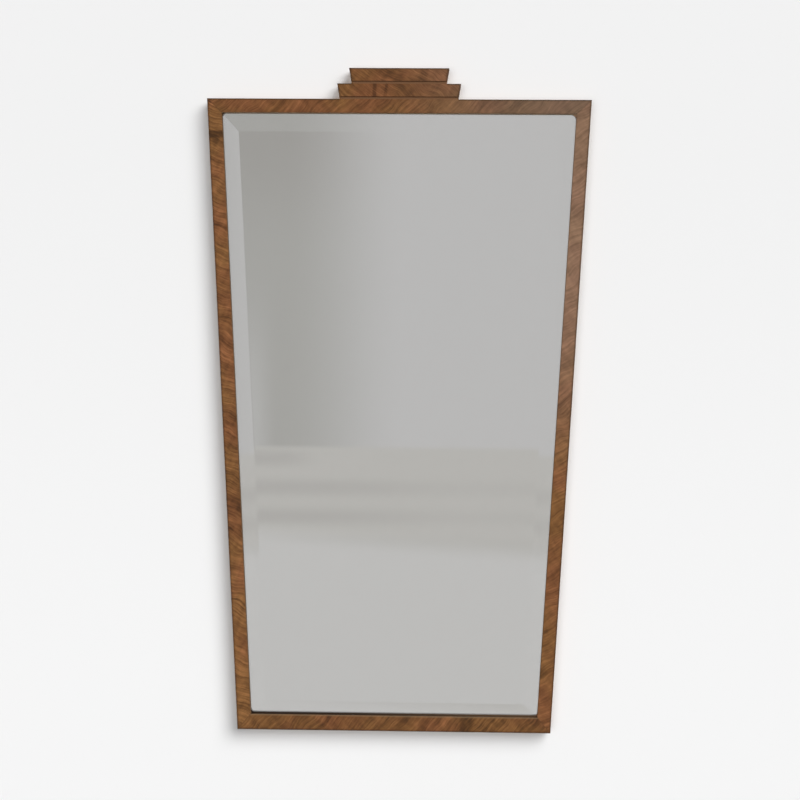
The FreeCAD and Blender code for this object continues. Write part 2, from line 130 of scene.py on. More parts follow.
def outline_between(top_z, foot_z):
    """The outline whose top and foot are edges of the rails' veneers."""
    return Outline(widest("top_rail_veneer", top_z), widest("bottom_rail_veneer", foot_z), top_z, foot_z)


frame_outline = outline_between(TOP_Z, FOOT_Z)
opening_outline = outline_between(OPENING_TOP_Z, OPENING_FOOT_Z)


class Tier(Outline):
    """A tier of the crest. It stands at its base, and its veneer begins above the sunk line."""
    def __init__(self, name, foot):
        node = f"crest_{name}_veneer"
        low, high = (corner.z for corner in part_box(node))
        super().__init__(widest(node, high), widest(node, low), high, low)
        self.name, self.base, self.quirk_top = name, foot, low


lower_tier = Tier("lower", TOP_Z)
upper_tier = Tier("upper", lower_tier.top)


def mitres(side):
    """The planes that end a member: a point on each, and its normal away from the member's middle."""
    run = frame_outline.run(side)
    planes = []
    for outer, inner, away in zip(frame_outline.ends(side), opening_outline.ends(side), (-run, run)):
        normal = Vector((0, 1, 0)).cross(inner - outer).normalized()
        planes.append((outer, normal if normal.dot(away) > 0 else -normal))
    return planes


MEMBERS = {"top": "top_rail", "right": "right_stile", "bottom": "bottom_rail", "left": "left_stile"}
print("the stiles lean", round(math.degrees(frame_outline.lean), 2), "degrees")

# %% [markdown]
# ## The camera
#
# The photograph was taken almost square on, from a little right of the middle and about level with it,
# with a long lens. The frame hangs half a degree out of true, which the camera's own turn shows here.

# %% Place the camera
CAMERA_PLACE = Vector((0.0854, -2.6, -0.2265))
CAMERA_AIM = Vector((0.0046, -0.0245, -0.2651))
CAMERA_LENS = 92.85
CAMERA_TURN = math.radians(0.493)
bpy.ops.object.select_all(action="DESELECT")
bpy.ops.object.camera_add(location=CAMERA_PLACE)
camera = bpy.context.object
camera.data.lens = CAMERA_LENS
look = (CAMERA_AIM - CAMERA_PLACE).to_track_quat("-Z", "Y").to_matrix()
camera.rotation_euler = (look @ Matrix.Rotation(CAMERA_TURN, 3, "Z")).to_euler()
bpy.context.scene.camera = camera
bpy.context.scene.view_settings.view_transform = "Standard"
print("camera", round((CAMERA_AIM - CAMERA_PLACE).length, 3), "m from the glass")

# %% [markdown]
# ## Short ways to write a finish
#
# A finish is a shader with textures feeding it. Written out node by node it would hide what matters, so
# these classes keep one tree of nodes, a material's or the world's, and add to it in one call each. A
# plain number goes straight onto the shader's own socket; only what varies over the surface comes through
# nodes.

# %% The finish classes
def srgb(red, green, blue):
    """A colour as it is seen on a screen, 0 to 255, made linear for the shader."""
    shares = (red / 255, green / 255, blue / 255)
    return (*[c / 12.92 if c <= 0.04045 else ((c + 0.055) / 1.055) ** 2.4 for c in shares], 1.0)


class Shading:
    """A tree of nodes, and the nodes that any such tree may hold."""
    def __init__(self, tree):
        self.tree = tree

    def put(self, socket, value):
        """A value onto a socket, or a link into it."""
        if isinstance(value, bpy.types.NodeSocket):
            self.tree.links.new(value, socket)
        else:
            socket.default_value = value

    def add(self, kind, inputs=(), **settings):
        node = self.tree.nodes.new("ShaderNode" + kind)
        for name, value in settings.items():
            setattr(node, name, value)
        for index, value in (inputs.items() if isinstance(inputs, dict) else enumerate(inputs)):
            self.put(node.inputs[index], value)
        return node

    def sum(self, operation, *values):
        return self.add("Math", values, operation=operation).outputs[0]

    def ramp(self, value, *stops):
        node = self.add("ValToRGB", (value,))
        elements = node.color_ramp.elements
        for element, (position, colour) in zip(elements, stops):
            element.position, element.color = position, colour
        for position, colour in stops[len(elements):]:
            elements.new(position).color = colour
        return node.outputs[0]


class Finish(Shading):
    """A material, from a plain shader."""
    def __init__(self, name, **shader_values):
        self.material = bpy.data.materials.new(name)
        self.material.use_nodes = True
        super().__init__(self.material.node_tree)
        self.shader = self.tree.nodes["Principled BSDF"]
        self.place = self.add("TexCoord").outputs["Object"]
        for socket, value in shader_values.items():
            self.shader.inputs[socket.replace("_", " ")].default_value = value

    def feed(self, socket, value):
        self.put(self.shader.inputs[socket], value)

    def along(self, place, way):
        """How far a place lies along a direction."""
        return self.add("VectorMath", (place, way), operation="DOT_PRODUCT").outputs["Value"]

    def turned(self, angle, shift=0.0):
        """The place with its X axis laid along a direction in the plane of the frame."""
        inputs = {"Vector": self.place, "Rotation": (0, angle, 0), "Location": (shift, shift, shift)}
        return self.add("Mapping", inputs).outputs[0]

    def noise(self, place, stretch, detail=2.0, roughness=0.5):
        """Noise with its own number of swings per metre along each axis."""
        scaled = self.add("VectorMath", (place, stretch), operation="MULTIPLY").outputs[0]
        inputs = {"Vector": scaled, "Scale": 1.0, "Detail": detail, "Roughness": roughness}
        return self.add("TexNoise", inputs).outputs["Fac"]

    def step(self, value, low, high, start=0.0, end=1.0):
        """A smooth step from start to end while a value goes from low to high."""
        inputs = {"Value": value, "From Min": low, "From Max": high, "To Min": start, "To Max": end}
        return self.add("MapRange", inputs, interpolation_type="SMOOTHSTEP").outputs[0]

    def mix(self, factor, first, second, blend="MIX"):
        node = self.add("Mix", data_type="RGBA", blend_type=blend)
        for index, value in ((0, factor), (6, first), (7, second)):
            self.put(node.inputs[index], value)
        return node.outputs[2]

    def weigh(self, *shares):
        """Values added by their weights, each about its middle, with one half as the middle of the sum."""
        total = 0.5 - 0.5 * sum(weight for value, weight in shares)
        for value, weight in shares:
            total = self.sum("MULTIPLY_ADD", value, weight, total)
        return total

    def bump(self, height, depth):
        self.feed("Normal", self.add("Bump", {"Distance": depth, "Height": height}).outputs["Normal"])


def beside(finish, line, low, high, depth=1.0):
    """How much a place lies beside a line: full nearer than low, nothing further in than high."""
    start, inward = line
    here = start.dot(inward)
    return finish.step(finish.along(finish.place, inward), here + low, here + high, depth, 0.0)


print("mid grey is", round(srgb(128, 128, 128)[0], 3), "to the shader")

# %% [markdown]
# ## The wall, the floor and the light
#
# The mirror hangs on a white wall, so the stage is that wall and a pale floor well below the picture.
# Both are seen from one side only, which lets a camera behind the wall look at the mirror's back. The
# wall is made for the camera alone: it takes the shadow, but blocks no light, and the floor neither
# blocks any nor throws it back. The wall's colour grows a shade paler from the mirror's top to its foot,
# as in the photograph: that is painted light, brighter towards the foot.

# %% Build the wall and the floor
# The wall's colour, and the paler one at its foot, which is painted light
WALL_COLOUR, WALL_FOOT_LIT_COLOUR = srgb(242, 242, 242), srgb(246, 246, 246)
FLOOR_COLOUR = srgb(232, 231, 229)
WALL_GAP = 0.5 * MM
FLOOR_Z = -1.62
STAGE_REACH = 14.0
TO_FRONT = (math.pi / 2, 0, 0)      # turns what lies level to the front, and lays an upright rod along Y


def one_sided(name, colour, foot_lit_colour):
    """A matt paint that is clear from behind, and may be painted paler towards the foot, as painted light."""
    paint = Finish(name, Roughness=0.9, Specular_IOR_Level=0.0)
    height = paint.along(paint.add("NewGeometry").outputs["Position"], (0, 0, 1))
    paint.feed("Base Color", paint.mix(paint.step(height, FOOT_Z, TOP_Z), foot_lit_colour, colour))
    behind = paint.add("NewGeometry").outputs["Backfacing"]
    clear = paint.add("BsdfTransparent").outputs[0]
    blend = paint.add("MixShader", (behind, paint.shader.outputs[0], clear)).outputs[0]
    paint.put(paint.tree.nodes["Material Output"].inputs["Surface"], blend)
    return paint.material


def stage_plane(name, size, place, turn, material, *unmet):
    """A square sheet that stands on the stage, and that some kinds of ray don't meet."""
    bpy.ops.object.select_all(action="DESELECT")
    bpy.ops.mesh.primitive_plane_add(size=size, location=place, rotation=turn)
    bpy.ops.object.transform_apply(location=True, rotation=True, scale=True)
    plane = bpy.context.object
    plane.name = name
    plane.data.materials.append(material)
    for ray in unmet:
        setattr(plane, "visible_" + ray, False)
    print(name, size, "m wide")


half_reach = STAGE_REACH / 2
wall_paint = one_sided("wall_paint", WALL_COLOUR, WALL_FOOT_LIT_COLOUR)
stage_plane("wall", STAGE_REACH, (0, WALL_GAP, FLOOR_Z + half_reach), TO_FRONT, wall_paint,
            "diffuse", "glossy", "transmission", "shadow")
floor_paint = one_sided("floor_paint", FLOOR_COLOUR, FLOOR_COLOUR)
stage_plane("floor", STAGE_REACH, (0, WALL_GAP - half_reach, FLOOR_Z), (0, 0, 0), floor_paint,
            "diffuse", "shadow")

# %% [markdown]
# The shadow tells where the light was: it is dark and close on the left and below, faint on the right,
# and gone 30 mm from the frame. That is one broad light from the upper right, a weaker and smaller one a
# little left of the camera, and only a tenth of the light from everywhere else. A sun lamp with a wide
# angle gives each of the two, evenly over the whole wall. Together they make the plain level at which a
# colour shows as it was mixed. One more lamp behind the wall lights the mirror's back.

# %% Light it
# Each lamp's side (0 is in front, 90 from the right), rise and spread in degrees, and its strength
LAMPS = {"key": (30.6, 28.4, 42, 2.42), "fill": (-10, -4, 31, 1.0), "back_light": (150, 35, 35, 2.2)}
AMBIENT = 0.105
LAMP_DISTANCE = 3.0         # for order only, because a sun lights the same from anywhere


def lamp(name, side, rise, spread, strength):
    """A broad sun that shines from a side and a height above the level."""
    side, rise, spread = (math.radians(angle) for angle in (side, rise, spread))
    source = Vector((math.sin(side) * math.cos(rise), -math.cos(side) * math.cos(rise), math.sin(rise)))
    aim = source.to_track_quat("Z", "Y").to_euler()
    bpy.ops.object.light_add(type="SUN", location=source * LAMP_DISTANCE, rotation=aim)
    light = bpy.context.object
    light.name = name
    light.data.energy = strength
    light.data.angle = spread
    light.visible_glossy = light.visible_transmission = False


for name, setting in LAMPS.items():
    lamp(name, *setting)

world = bpy.data.worlds.new("studio")
bpy.context.scene.world = world
world.use_nodes = True
world.node_tree.nodes.clear()
sky = Shading(world.node_tree)
rays = sky.add("LightPath").outputs
height = sky.add("SeparateXYZ", (sky.add("TexCoord").outputs["Generated"],)).outputs["Z"]
height = sky.add("MapRange", (height, -1.0, 1.0)).outputs[0]
studio = sky.ramp(height, (0.3, srgb(150, 149, 147)), (0.75, srgb(238, 238, 240)))
ambient = sky.add("Background", ((1, 1, 1, 1), AMBIENT)).outputs[0]
mirrored = sky.add("Background", (studio, 1.0)).outputs[0]
white = sky.add("Background", (WALL_COLOUR, 1.0)).outputs[0]
reflected = sky.sum("MAXIMUM", rays["Is Glossy Ray"], rays["Is Transmission Ray"])
lit = sky.add("MixShader", (reflected, ambient, mirrored)).outputs[0]
shown = sky.add("MixShader", (rays["Is Camera Ray"], lit, white)).outputs[0]
sky.add("OutputWorld", (shown,))
print(len(LAMPS), "lamps, ambient", AMBIENT)

# %% [markdown]
# ## What the glass reflects
#
# A mirror has no look of its own: what shows in it is the pale room behind the camera. That room is out
# of focus, so one large painted card stands for it, glowing with its own light as a painted reflection: a
# light wall that falls into shade towards one side, a ledge with a few soft folds of shade below it, and a
# lighter floor. Only rays that left the glass can see the card. It stands five metres off, so the bevels,
# which bend a ray by some five degrees, pick up the tone of a place well beside their own, as real ones do.

# %% Hang the card behind the camera
CARD_Y = -5.0
CARD_SIZE = 3.2
GLASS_RETURN = 0.875        # the share of the light that comes back from the silver through the glass
WALL_TONE, SHADE_TONE, CORNER_TONE = srgb(184, 184, 184), srgb(163, 163, 160), srgb(156, 155, 152)
LEDGE_TONE, FOLD_TONE, FLOOR_TONE = srgb(180, 179, 176), srgb(168, 167, 164), srgb(188, 188, 187)
LEDGE_Z, LEDGE_FOOT_Z, LEDGE_FALL = -0.515, -0.88, 0.075    # its foot falls a little to the right
LEDGE_EDGE, LEDGE_FOOT_EDGE = 0.012, 0.05                   # half the width over which each one fades
FOLD_PITCH, FOLD_START = 0.107, 2.9     # from fold to fold, and the wave's turn at the card's middle
# Where the shade ends to the right, deepens upwards, and is paler again at its left edge and lower down
SHADE_X, CORNER_Z = (-0.59, -0.12), (0.15, 0.65)
PALE_X, PALE_Z, PALE_SHARE = (-0.70, -0.60, 1.0, 0.0), (0.2, -0.45), 0.55
# Where the folds grow deeper, and where the first of them is left out
FOLD_X, NO_FOLD_X, NO_FOLD_Z = (0.15, -0.55, 0.25, 0.75), (-0.60, -0.40), (-0.64, -0.60)


def card_finish():
    """The soft room. The card's own place is in metres, X to the right and Z up, as seen in the glass."""
    card = Finish("room_card")
    axes = card.add("SeparateXYZ", (card.place,)).outputs
    x, z = axes["X"], axes["Z"]
    pale = card.sum("MULTIPLY", card.step(x, *PALE_X), card.step(z, *PALE_Z))
    shade = card.mix(card.step(z, *CORNER_Z), SHADE_TONE, CORNER_TONE)
    shade = card.mix(card.sum("MULTIPLY", pale, PALE_SHARE), shade, WALL_TONE)
    upper = card.mix(card.step(x, *SHADE_X), shade, WALL_TONE)
    folds = card.sum("SINE", card.sum("MULTIPLY_ADD", z, 2 * math.pi / FOLD_PITCH, FOLD_START))
    folds = card.sum("MULTIPLY_ADD", folds, 0.5, 0.5)
    left_out = card.sum("MULTIPLY", card.step(z, *NO_FOLD_Z), card.step(x, *NO_FOLD_X))
    fold_depth = card.sum("MULTIPLY", card.step(x, *FOLD_X), card.sum("SUBTRACT", 1.0, left_out))
    ledge = card.mix(card.sum("MULTIPLY", folds, fold_depth), LEDGE_TONE, FOLD_TONE)
    falling = card.sum("MULTIPLY_ADD", x, LEDGE_FALL, z)
    on_floor = card.step(falling, LEDGE_FOOT_Z + LEDGE_FOOT_EDGE, LEDGE_FOOT_Z - LEDGE_FOOT_EDGE)
    lower = card.mix(on_floor, ledge, FLOOR_TONE)
    room = card.mix(card.step(z, LEDGE_Z + LEDGE_EDGE, LEDGE_Z - LEDGE_EDGE), upper, lower)
    light = card.add("Emission", {"Color": room, "Strength": 1 / GLASS_RETURN}).outputs[0]
    card.put(card.tree.nodes["Material Output"].inputs["Surface"], light)
    return card.material


stage_plane("room_card", CARD_SIZE, (0, CARD_Y, 0), TO_FRONT, card_finish(),
            "camera", "diffuse", "shadow", "volume_scatter")

# %% [markdown]
# ## Working by hand, in code
#
# Every new piece starts as a primitive and is then shaped in edit mode, as it would be with the mouse:
# faces and edges are picked by where they lie, and cut, extruded, inset or bevelled. These helpers do
# what the hand does in between. An operator acts on all that is selected, so each of them first lets go
# of everything.

# %% Hands
def take(piece):
    """Only this piece is selected, and it is the active one."""
    bpy.ops.object.select_all(action="DESELECT")
    piece.select_set(True)
    bpy.context.view_layer.objects.active = piece
    return piece


def settle(piece, name=None):
    """Puts a piece's place, turn and scale into its mesh, so that its object sits at the origin."""
    take(piece)
    bpy.ops.object.transform_apply(location=True, rotation=True, scale=True)
    if name:
        piece.name = piece.data.name = name
    return piece


def block(name, centre, size, turn=0.0):
    """A block to cut a piece from, turned about the Y axis."""
    bpy.ops.object.select_all(action="DESELECT")
    bpy.ops.mesh.primitive_cube_add(size=1, location=centre, rotation=(0, turn, 0), scale=size)
    return settle(bpy.context.object, name)


def pick(piece, kind, test):
    """In edit mode, selects the faces, edges or corners that pass a test."""
    bpy.ops.mesh.select_mode(type=kind)
    bpy.ops.mesh.select_all(action="DESELECT")
    mesh = bmesh.from_edit_mesh(piece.data)
    found = [e for e in {"FACE": mesh.faces, "EDGE": mesh.edges, "VERT": mesh.verts}[kind] if test(e)]
    for element in found:
        element.select_set(True)
    mesh.select_flush_mode()
    bmesh.update_edit_mesh(piece.data)


def edit(piece):
    take(piece)
    bpy.ops.object.mode_set(mode="EDIT")


def done():
    bpy.ops.object.mode_set(mode="OBJECT")


def cut(point, normal, keep_both=False):
    """Cuts all of the piece in edit mode with a plane, and closes it where the normal's side falls away."""
    bpy.ops.mesh.select_all(action="SELECT")
    bpy.ops.mesh.bisect(plane_co=point, plane_no=normal, use_fill=not keep_both, clear_outer=not keep_both)


def ease(piece, test, width, segments=2):
    """Bevels the edges that pass a test."""
    pick(piece, "EDGE", test)
    bpy.ops.mesh.bevel(offset=width, offset_type="OFFSET", segments=segments, affect="EDGES")


def draw(move):
    """Draws what is selected out, and leaves its end selected."""
    bpy.ops.mesh.extrude_region_move(TRANSFORM_OT_translate={"value": move})


def middle(element):
    """The middle of a face or an edge."""
    return sum((v.co for v in element.verts), Vector()) / len(element.verts)


def way(edge):
    return (edge.verts[1].co - edge.verts[0].co).normalized()


def modify(piece, kind, **settings):
    """Adds a modifier and applies it."""
    take(piece)
    modifier = piece.modifiers.new(kind.lower(), kind)
    for name, value in settings.items():
        setattr(modifier, name, value)
    bpy.ops.object.modifier_apply(modifier=modifier.name)


def fit(piece, finish, slot, body, *stands_for):
    """The last step of each piece: its finish, the body it rides on and the solids it stands for."""
    piece.data.materials.clear()
    piece.data.materials.append(finish)
    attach(piece, body)
    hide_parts(*stands_for)
    print(piece.name, len(piece.data.polygons), "faces")


print("tools laid out")

# %% [markdown]
# ## The glass
#
# The plate is five millimetres thick, with a bevel ground all round its face, by hand and so not quite
# evenly: it is widest at the top. A block is cut to the tapered outline, its front face is inset by the
# side bevels' width, and the inset face is drawn forward. Then the ridge's corners slide along their
# leaning sides to where the upper and lower bevels end. Grinding and polishing leave each ridge slightly
# round, which catches a thin soft line of light, so the ridges are bevelled by a third of a millimetre.
# The faces stay flat shaded: smoothing would bend the whole reflection.
#
# Where the glass meets the frame, it is tinted darker and made less clear: a dark line along the foot,
# and a rounded brown patch in each corner, darkest at the foot on the left.

# %% Grind the glass
TOP_BEVEL, SIDE_BEVEL, BOTTOM_BEVEL = 26.5 * MM, 23.5 * MM, 20.0 * MM
BEVEL_DROP, RIDGE_WIDTH = 2.2 * MM, 0.35 * MM
BACK_AIR = 0.05 * MM        # between the glass and the silver, so that the two faces don't share a plane
glass_low, glass_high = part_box("mirror_glass")


def plate(name, inset, front, back):
    """A block cut to the opening's outline, set in from its edge, left in edit mode."""
    size = Vector((2 * frame_outline.top_half, back - front, frame_outline.top - frame_outline.foot))
    piece = block(name, (0, (front + back) / 2, (frame_outline.top + frame_outline.foot) / 2), size)
    edit(piece)
    for side in Outline.SIDES:
        start, inward = opening_outline.edge(side, inset)
        cut(start, -inward)
    return piece


# Each corner's rounded patch, clockwise from the top left: its radius and its colour
CORNER_PATCHES = ((5.5 * MM, srgb(92, 62, 36)), (7.5 * MM, srgb(176, 146, 124)), (6 * MM, srgb(150, 112, 84)),
          (7.5 * MM, srgb(40, 27, 18)))
CLEAR = srgb(254, 254, 254)
CORNER_PATCH_EDGE = 0.4 * MM
# The dark line along the foot, at its left end and at its right, how far up the glass it reaches, and
# from where to where it changes
FOOT_LINE_TONES = srgb(42, 30, 20), srgb(92, 70, 50)
FOOT_LINE_REACH = 1.4 * MM, 2.7 * MM
FOOT_LINE_X = -0.10, 0.19


def foot_line_tone(finish):
    across = finish.along(finish.place, (1, 0, 0))
    return finish.mix(finish.step(across, *FOOT_LINE_X), *FOOT_LINE_TONES)


def in_corner(finish, index, radius):
    """How much a place lies between a corner of the opening and a round that touches both its sides."""
    squares = []
    for side in (Outline.SIDES[index], Outline.SIDES[index - 1]):
        start, inward = opening_outline.edge(side, radius)
        past = finish.sum("SUBTRACT", start.dot(inward), finish.along(finish.place, inward))
        past = finish.sum("MAXIMUM", past, 0.0)
        squares.append(finish.sum("MULTIPLY", past, past))
    far = finish.sum("SQRT", finish.sum("ADD", *squares))
    return finish.step(far, radius - CORNER_PATCH_EDGE, radius + CORNER_PATCH_EDGE)


def glass_finish():
    """Old plate glass, faintly green, a trace of dust that dulls it here and there, and darker tints at its
    rim.
    """
    glass = Finish("plate_glass", IOR=1.52)
    rim_tint = beside(glass, opening_outline.edge("bottom"), *FOOT_LINE_REACH)
    colour = glass.mix(rim_tint, CLEAR, foot_line_tone(glass))
    for index, (radius, patch_colour) in enumerate(CORNER_PATCHES):
        here = in_corner(glass, index, radius)
        colour = glass.mix(here, colour, patch_colour)
        rim_tint = glass.sum("MAXIMUM", rim_tint, here)
    dust = glass.noise(glass.place, (9, 9, 9), 3, 0.6)
    glass.feed("Base Color", colour)
    glass.feed("Transmission Weight", glass.sum("SUBTRACT", 1.0, rim_tint))
    dull = glass.step(dust, 0.5, 0.8, 0.0, 0.012)
    glass.feed("Roughness", glass.sum("MULTIPLY_ADD", rim_tint, 0.7, dull))
    return glass.material


glass_edge_y = glass_low.y + BEVEL_DROP
glass = plate("mirror_glass_plate", GLASS_INSET, glass_edge_y, glass_high.y - BACK_AIR)
pick(glass, "FACE", lambda f: f.normal.y < -0.9)
bpy.ops.mesh.inset(thickness=SIDE_BEVEL, use_even_offset=True)
bpy.ops.transform.translate(value=(0, -BEVEL_DROP, 0))
middle_z = (OPENING_TOP_Z + OPENING_FOOT_Z) / 2


def ridge_corner(corner, side, top):
    on_ridge = corner.co.y < glass_low.y + NEAR
    return on_ridge and corner.co.x * side > 0 and (corner.co.z > middle_z) == top


for top, rise in ((True, SIDE_BEVEL - TOP_BEVEL), (False, BOTTOM_BEVEL - SIDE_BEVEL)):
    for side in (-1, 1):
        pick(glass, "VERT", lambda v: ridge_corner(v, side, top))
        bpy.ops.transform.translate(value=(side * opening_outline.slope * rise, 0, rise))
ease(glass, lambda e: all(abs(v.co.y - glass_low.y) < NEAR for v in e.verts), RIDGE_WIDTH, 3)
ease(glass, lambda e: all(abs(v.co.y - glass_edge_y) < NEAR for v in e.verts), RIDGE_WIDTH, 1)
done()
fit(glass, glass_finish(), "glass", "mirror", "mirror_glass")
print("side bevel", round(math.degrees(math.atan(BEVEL_DROP / SIDE_BEVEL)), 2), "degrees")

# %% [markdown]
# ## The silver
#
# The silver is a film on the back of the glass, sealed with paint. From the front it is a mirror; from
# behind it is the dull red-brown of the sealing coat. Age has left a few specks in it.

# %% Silver the back
def silver_finish():
    silver = Finish("silver_film")
    behind = silver.step(silver.along(silver.add("NewGeometry").outputs["Normal"], (0, 1, 0)), 0.0, 0.5)
    specks = silver.step(silver.noise(silver.place, (160, 160, 160), 1, 0.4), 0.86, 0.92, 0.0, 0.4)
    bright = silver.mix(specks, srgb(243, 242, 241), srgb(186, 184, 178))
    silver.feed("Base Color", silver.mix(behind, bright, srgb(112, 62, 48)))
    silver.feed("Metallic", silver.sum("SUBTRACT", 1.0, behind))
    silver.feed("Roughness", silver.sum("MULTIPLY_ADD", behind, 0.6, silver.sum("MULTIPLY", specks, 0.3)))
    return silver.material


def dress(node, finish):
    """A kept solid gets its finish."""
    for slot in nodes[node].material_slots:
        slot.material = finish
    print(node, "keeps its solid, in", finish.name)


dress("silver_backing", silver_finish())

# %% [markdown]
# ## Figured veneer
#
# The face is a sheet under a millimetre thick, cut from wavy wood, and laid with its grain slantwise
# across each member. Seen close, it is many things at once: stripes of some three millimetres along the
# grain, much finer fibres and pores, a faint ripple across, broader dark bands, and patches that lean to
# gold or to red. Each is a noise with its own stretch, and their weighed sum goes through one ramp of
# browns. The long side of the stretch lies along the grain, and a slow sway keeps the stripes from
# running dead straight.
#
# Hands and polish have darkened the outer arrises, and glue has darkened the mitres. A painted shade darkens
# the veneer along the opening on the top rail and the left stile. A paler band along the bottom rail's
# opening is partly wear and partly a painted highlight on its upturned arris, and a painted glare of the
# light from the right pales the upper right. Those are bands beside a line and one slow fade, laid over
# the figure.

# %% Mix the veneer
BROWNS = ((0.12, srgb(62, 38, 18)), (0.36, srgb(94, 61, 33)), (0.58, srgb(122, 82, 49)),
          (0.90, srgb(156, 108, 68)))
# The browns under a painted glare of the light from the right: paler on the right stile, only duller on the
# rail and the crest
PALE_GLARE = (0.25, srgb(116, 91, 74)), (0.80, srgb(157, 131, 112))
DULL_GLARE = (0.25, srgb(101, 85, 71)), (0.80, srgb(134, 116, 100))
GLARE_X, GLARE_Z = (-0.04, 0.22, 0.0, 0.6), (-0.40, -0.12)    # it grows to the right and upwards
GOLD_CAST, RED_CAST = (1.0, 1.03, 0.92, 1), (1.05, 0.955, 1.0, 1)
PATINA, BARE_LIT_WOOD = srgb(56, 40, 25), srgb(128, 107, 82)
# How far in a darkening is full, where it ends, and its depth
TOP_ARRIS, SIDE_ARRIS = (0.6 * MM, 2.4 * MM, 0.75), (0.5 * MM, 3.2 * MM, 0.6)
MITRE_GLUE, INNER_SHADE = (0.2 * MM, 0.9 * MM, 0.3), (0.5 * MM, 5 * MM, 0.1)
# The paler band along the bottom rail's opening, partly wear and partly a painted highlight on the upturned
# arris
WORN_LIT_EDGE = 0.9 * MM, 2.3 * MM, 0.45
CREST_FADE = 0.5 * MM       # half the width over which the top rail's dark arris ends under the crest
SWAY = 16 * MM              # how far the stripes sway


def veneer_finish(name, grain, seed, dark_lines=(), worn_lit_line=None, streaks=(), paler=0.0, contrast=1.0,
                  glare_browns=DULL_GLARE):
    """Veneer with its grain at an angle above the level, dark along some lines, with its own streaks, and
    with a painted glare towards the upper right.
    """
    veneer = Finish(name, Specular_IOR_Level=0.2, Coat_Weight=0.1, Coat_Roughness=0.38)
    grainwise = veneer.turned(grain, seed)
    sway = veneer.noise(grainwise, (34, 34, 10), 1.5)
    swayed = veneer.add("VectorMath", (sway, (0, 0, SWAY), grainwise), operation="MULTIPLY_ADD").outputs[0]
    stripes = veneer.noise(swayed, (26, 26, 430), 3, 0.6)
    fibres = veneer.noise(swayed, (90, 90, 1400), 2)
    ripple = veneer.noise(grainwise, (140, 30, 50), 2)
    bands = veneer.step(veneer.noise(swayed, (7, 7, 64), 1), 0.50, 0.72)
    pores = veneer.step(veneer.noise(grainwise, (240, 240, 2600), 1), 0.60, 0.70)
    figure = veneer.weigh((stripes, 0.85), (fibres, 0.4), (ripple, 0.4))
    figure = veneer.sum("MULTIPLY_ADD", figure, contrast, 0.5 * (1 - contrast) + paler)
    figure = veneer.sum("MULTIPLY_ADD", bands, -0.12 * contrast, figure)
    figure = veneer.sum("MULTIPLY_ADD", pores, -0.07, figure)
    for point, normal, half_width, depth in streaks:
        off = veneer.sum("SUBTRACT", veneer.along(veneer.place, normal), point.dot(normal))
        off = veneer.sum("MULTIPLY_ADD", ripple, -half_width, veneer.sum("ABSOLUTE", off))
        figure = veneer.sum("ADD", figure, veneer.step(off, 0.0, 0.85 * half_width, -depth, 0.0))
    colour = veneer.ramp(figure, *BROWNS)
    cast = veneer.step(veneer.noise(veneer.place, (17, 17, 17), 2), 0.38, 0.62)
    colour = veneer.mix(1.0, colour, veneer.mix(cast, GOLD_CAST, RED_CAST), "MULTIPLY")
    across = veneer.along(veneer.place, (1, 0, 0))
    up = veneer.along(veneer.place, (0, 0, 1))
    # Painted glare of the light from the right, growing to the right and upwards
    glare_share = veneer.sum("MULTIPLY", veneer.step(across, *GLARE_X), veneer.step(up, *GLARE_Z))
    colour = veneer.mix(glare_share, colour, veneer.ramp(figure, *glare_browns))
    # Wear and a painted highlight along the bottom rail's opening
    if worn_lit_line:
        colour = veneer.mix(beside(veneer, worn_lit_line, *WORN_LIT_EDGE), colour, BARE_LIT_WOOD)
    for line, reach, gap in dark_lines:
        clear_of = veneer.step(veneer.sum("ABSOLUTE", across), gap - CREST_FADE, gap + CREST_FADE)
        colour = veneer.mix(veneer.sum("MULTIPLY", beside(veneer, line, *reach), clear_of), colour, PATINA)
    veneer.feed("Base Color", colour)
    veneer.feed("Roughness", veneer.weigh((fibres, 0.3), (ripple, 0.2)))
    relief = veneer.sum("MULTIPLY_ADD", pores, -0.6, fibres)
    veneer.bump(relief, 0.03 * MM)
    return veneer.material


print(len(BROWNS), "browns, from", tuple(round(c, 2) for c in BROWNS[0][1][:3]))

# %% [markdown]
# ## Plain wood
#
# Behind the veneer the frame is bare softwood, and the dowels, feathers, battens and board have no polish
# either. All of these are straight grained: slow growth rings, drawn out along the grain, and fine
# fibres.

# %% Mix the plain wood
def plain_wood(name, tones, grain, ring_width, seed=0.0):
    """Bare straight-grained wood, returned unfinished, so that a stain can still be laid over it."""
    dark, light = tones
    wood = Finish(name, Roughness=0.72, Specular_IOR_Level=0.25)
    grainwise = wood.turned(grain, seed)
    rings = wood.noise(grainwise, (5, 1 / ring_width, 1 / ring_width), 2)
    fibres = wood.noise(grainwise, (70, 1100, 1100), 2)
    figure = wood.weigh((rings, 1.7), (fibres, 0.9))
    wood.colour = wood.ramp(figure, (0.2, dark), (0.8, light))
    wood.feed("Base Color", wood.colour)
    wood.bump(fibres, 0.04 * MM)
    return wood


# Each wood's dark and its light, and then the width of their rings
PINE = srgb(150, 110, 70), srgb(190, 152, 106)
BEECH = srgb(168, 128, 88), srgb(204, 168, 126)
BIRCH = srgb(172, 134, 90), srgb(212, 178, 130)
BATTEN_PINE = srgb(158, 120, 76), srgb(196, 160, 112)
PINE_RINGS, BEECH_RINGS, BIRCH_RINGS, BATTEN_RINGS = 3.5 * MM, 2 * MM, 16 * MM, 2.5 * MM
print("plain wood ready")

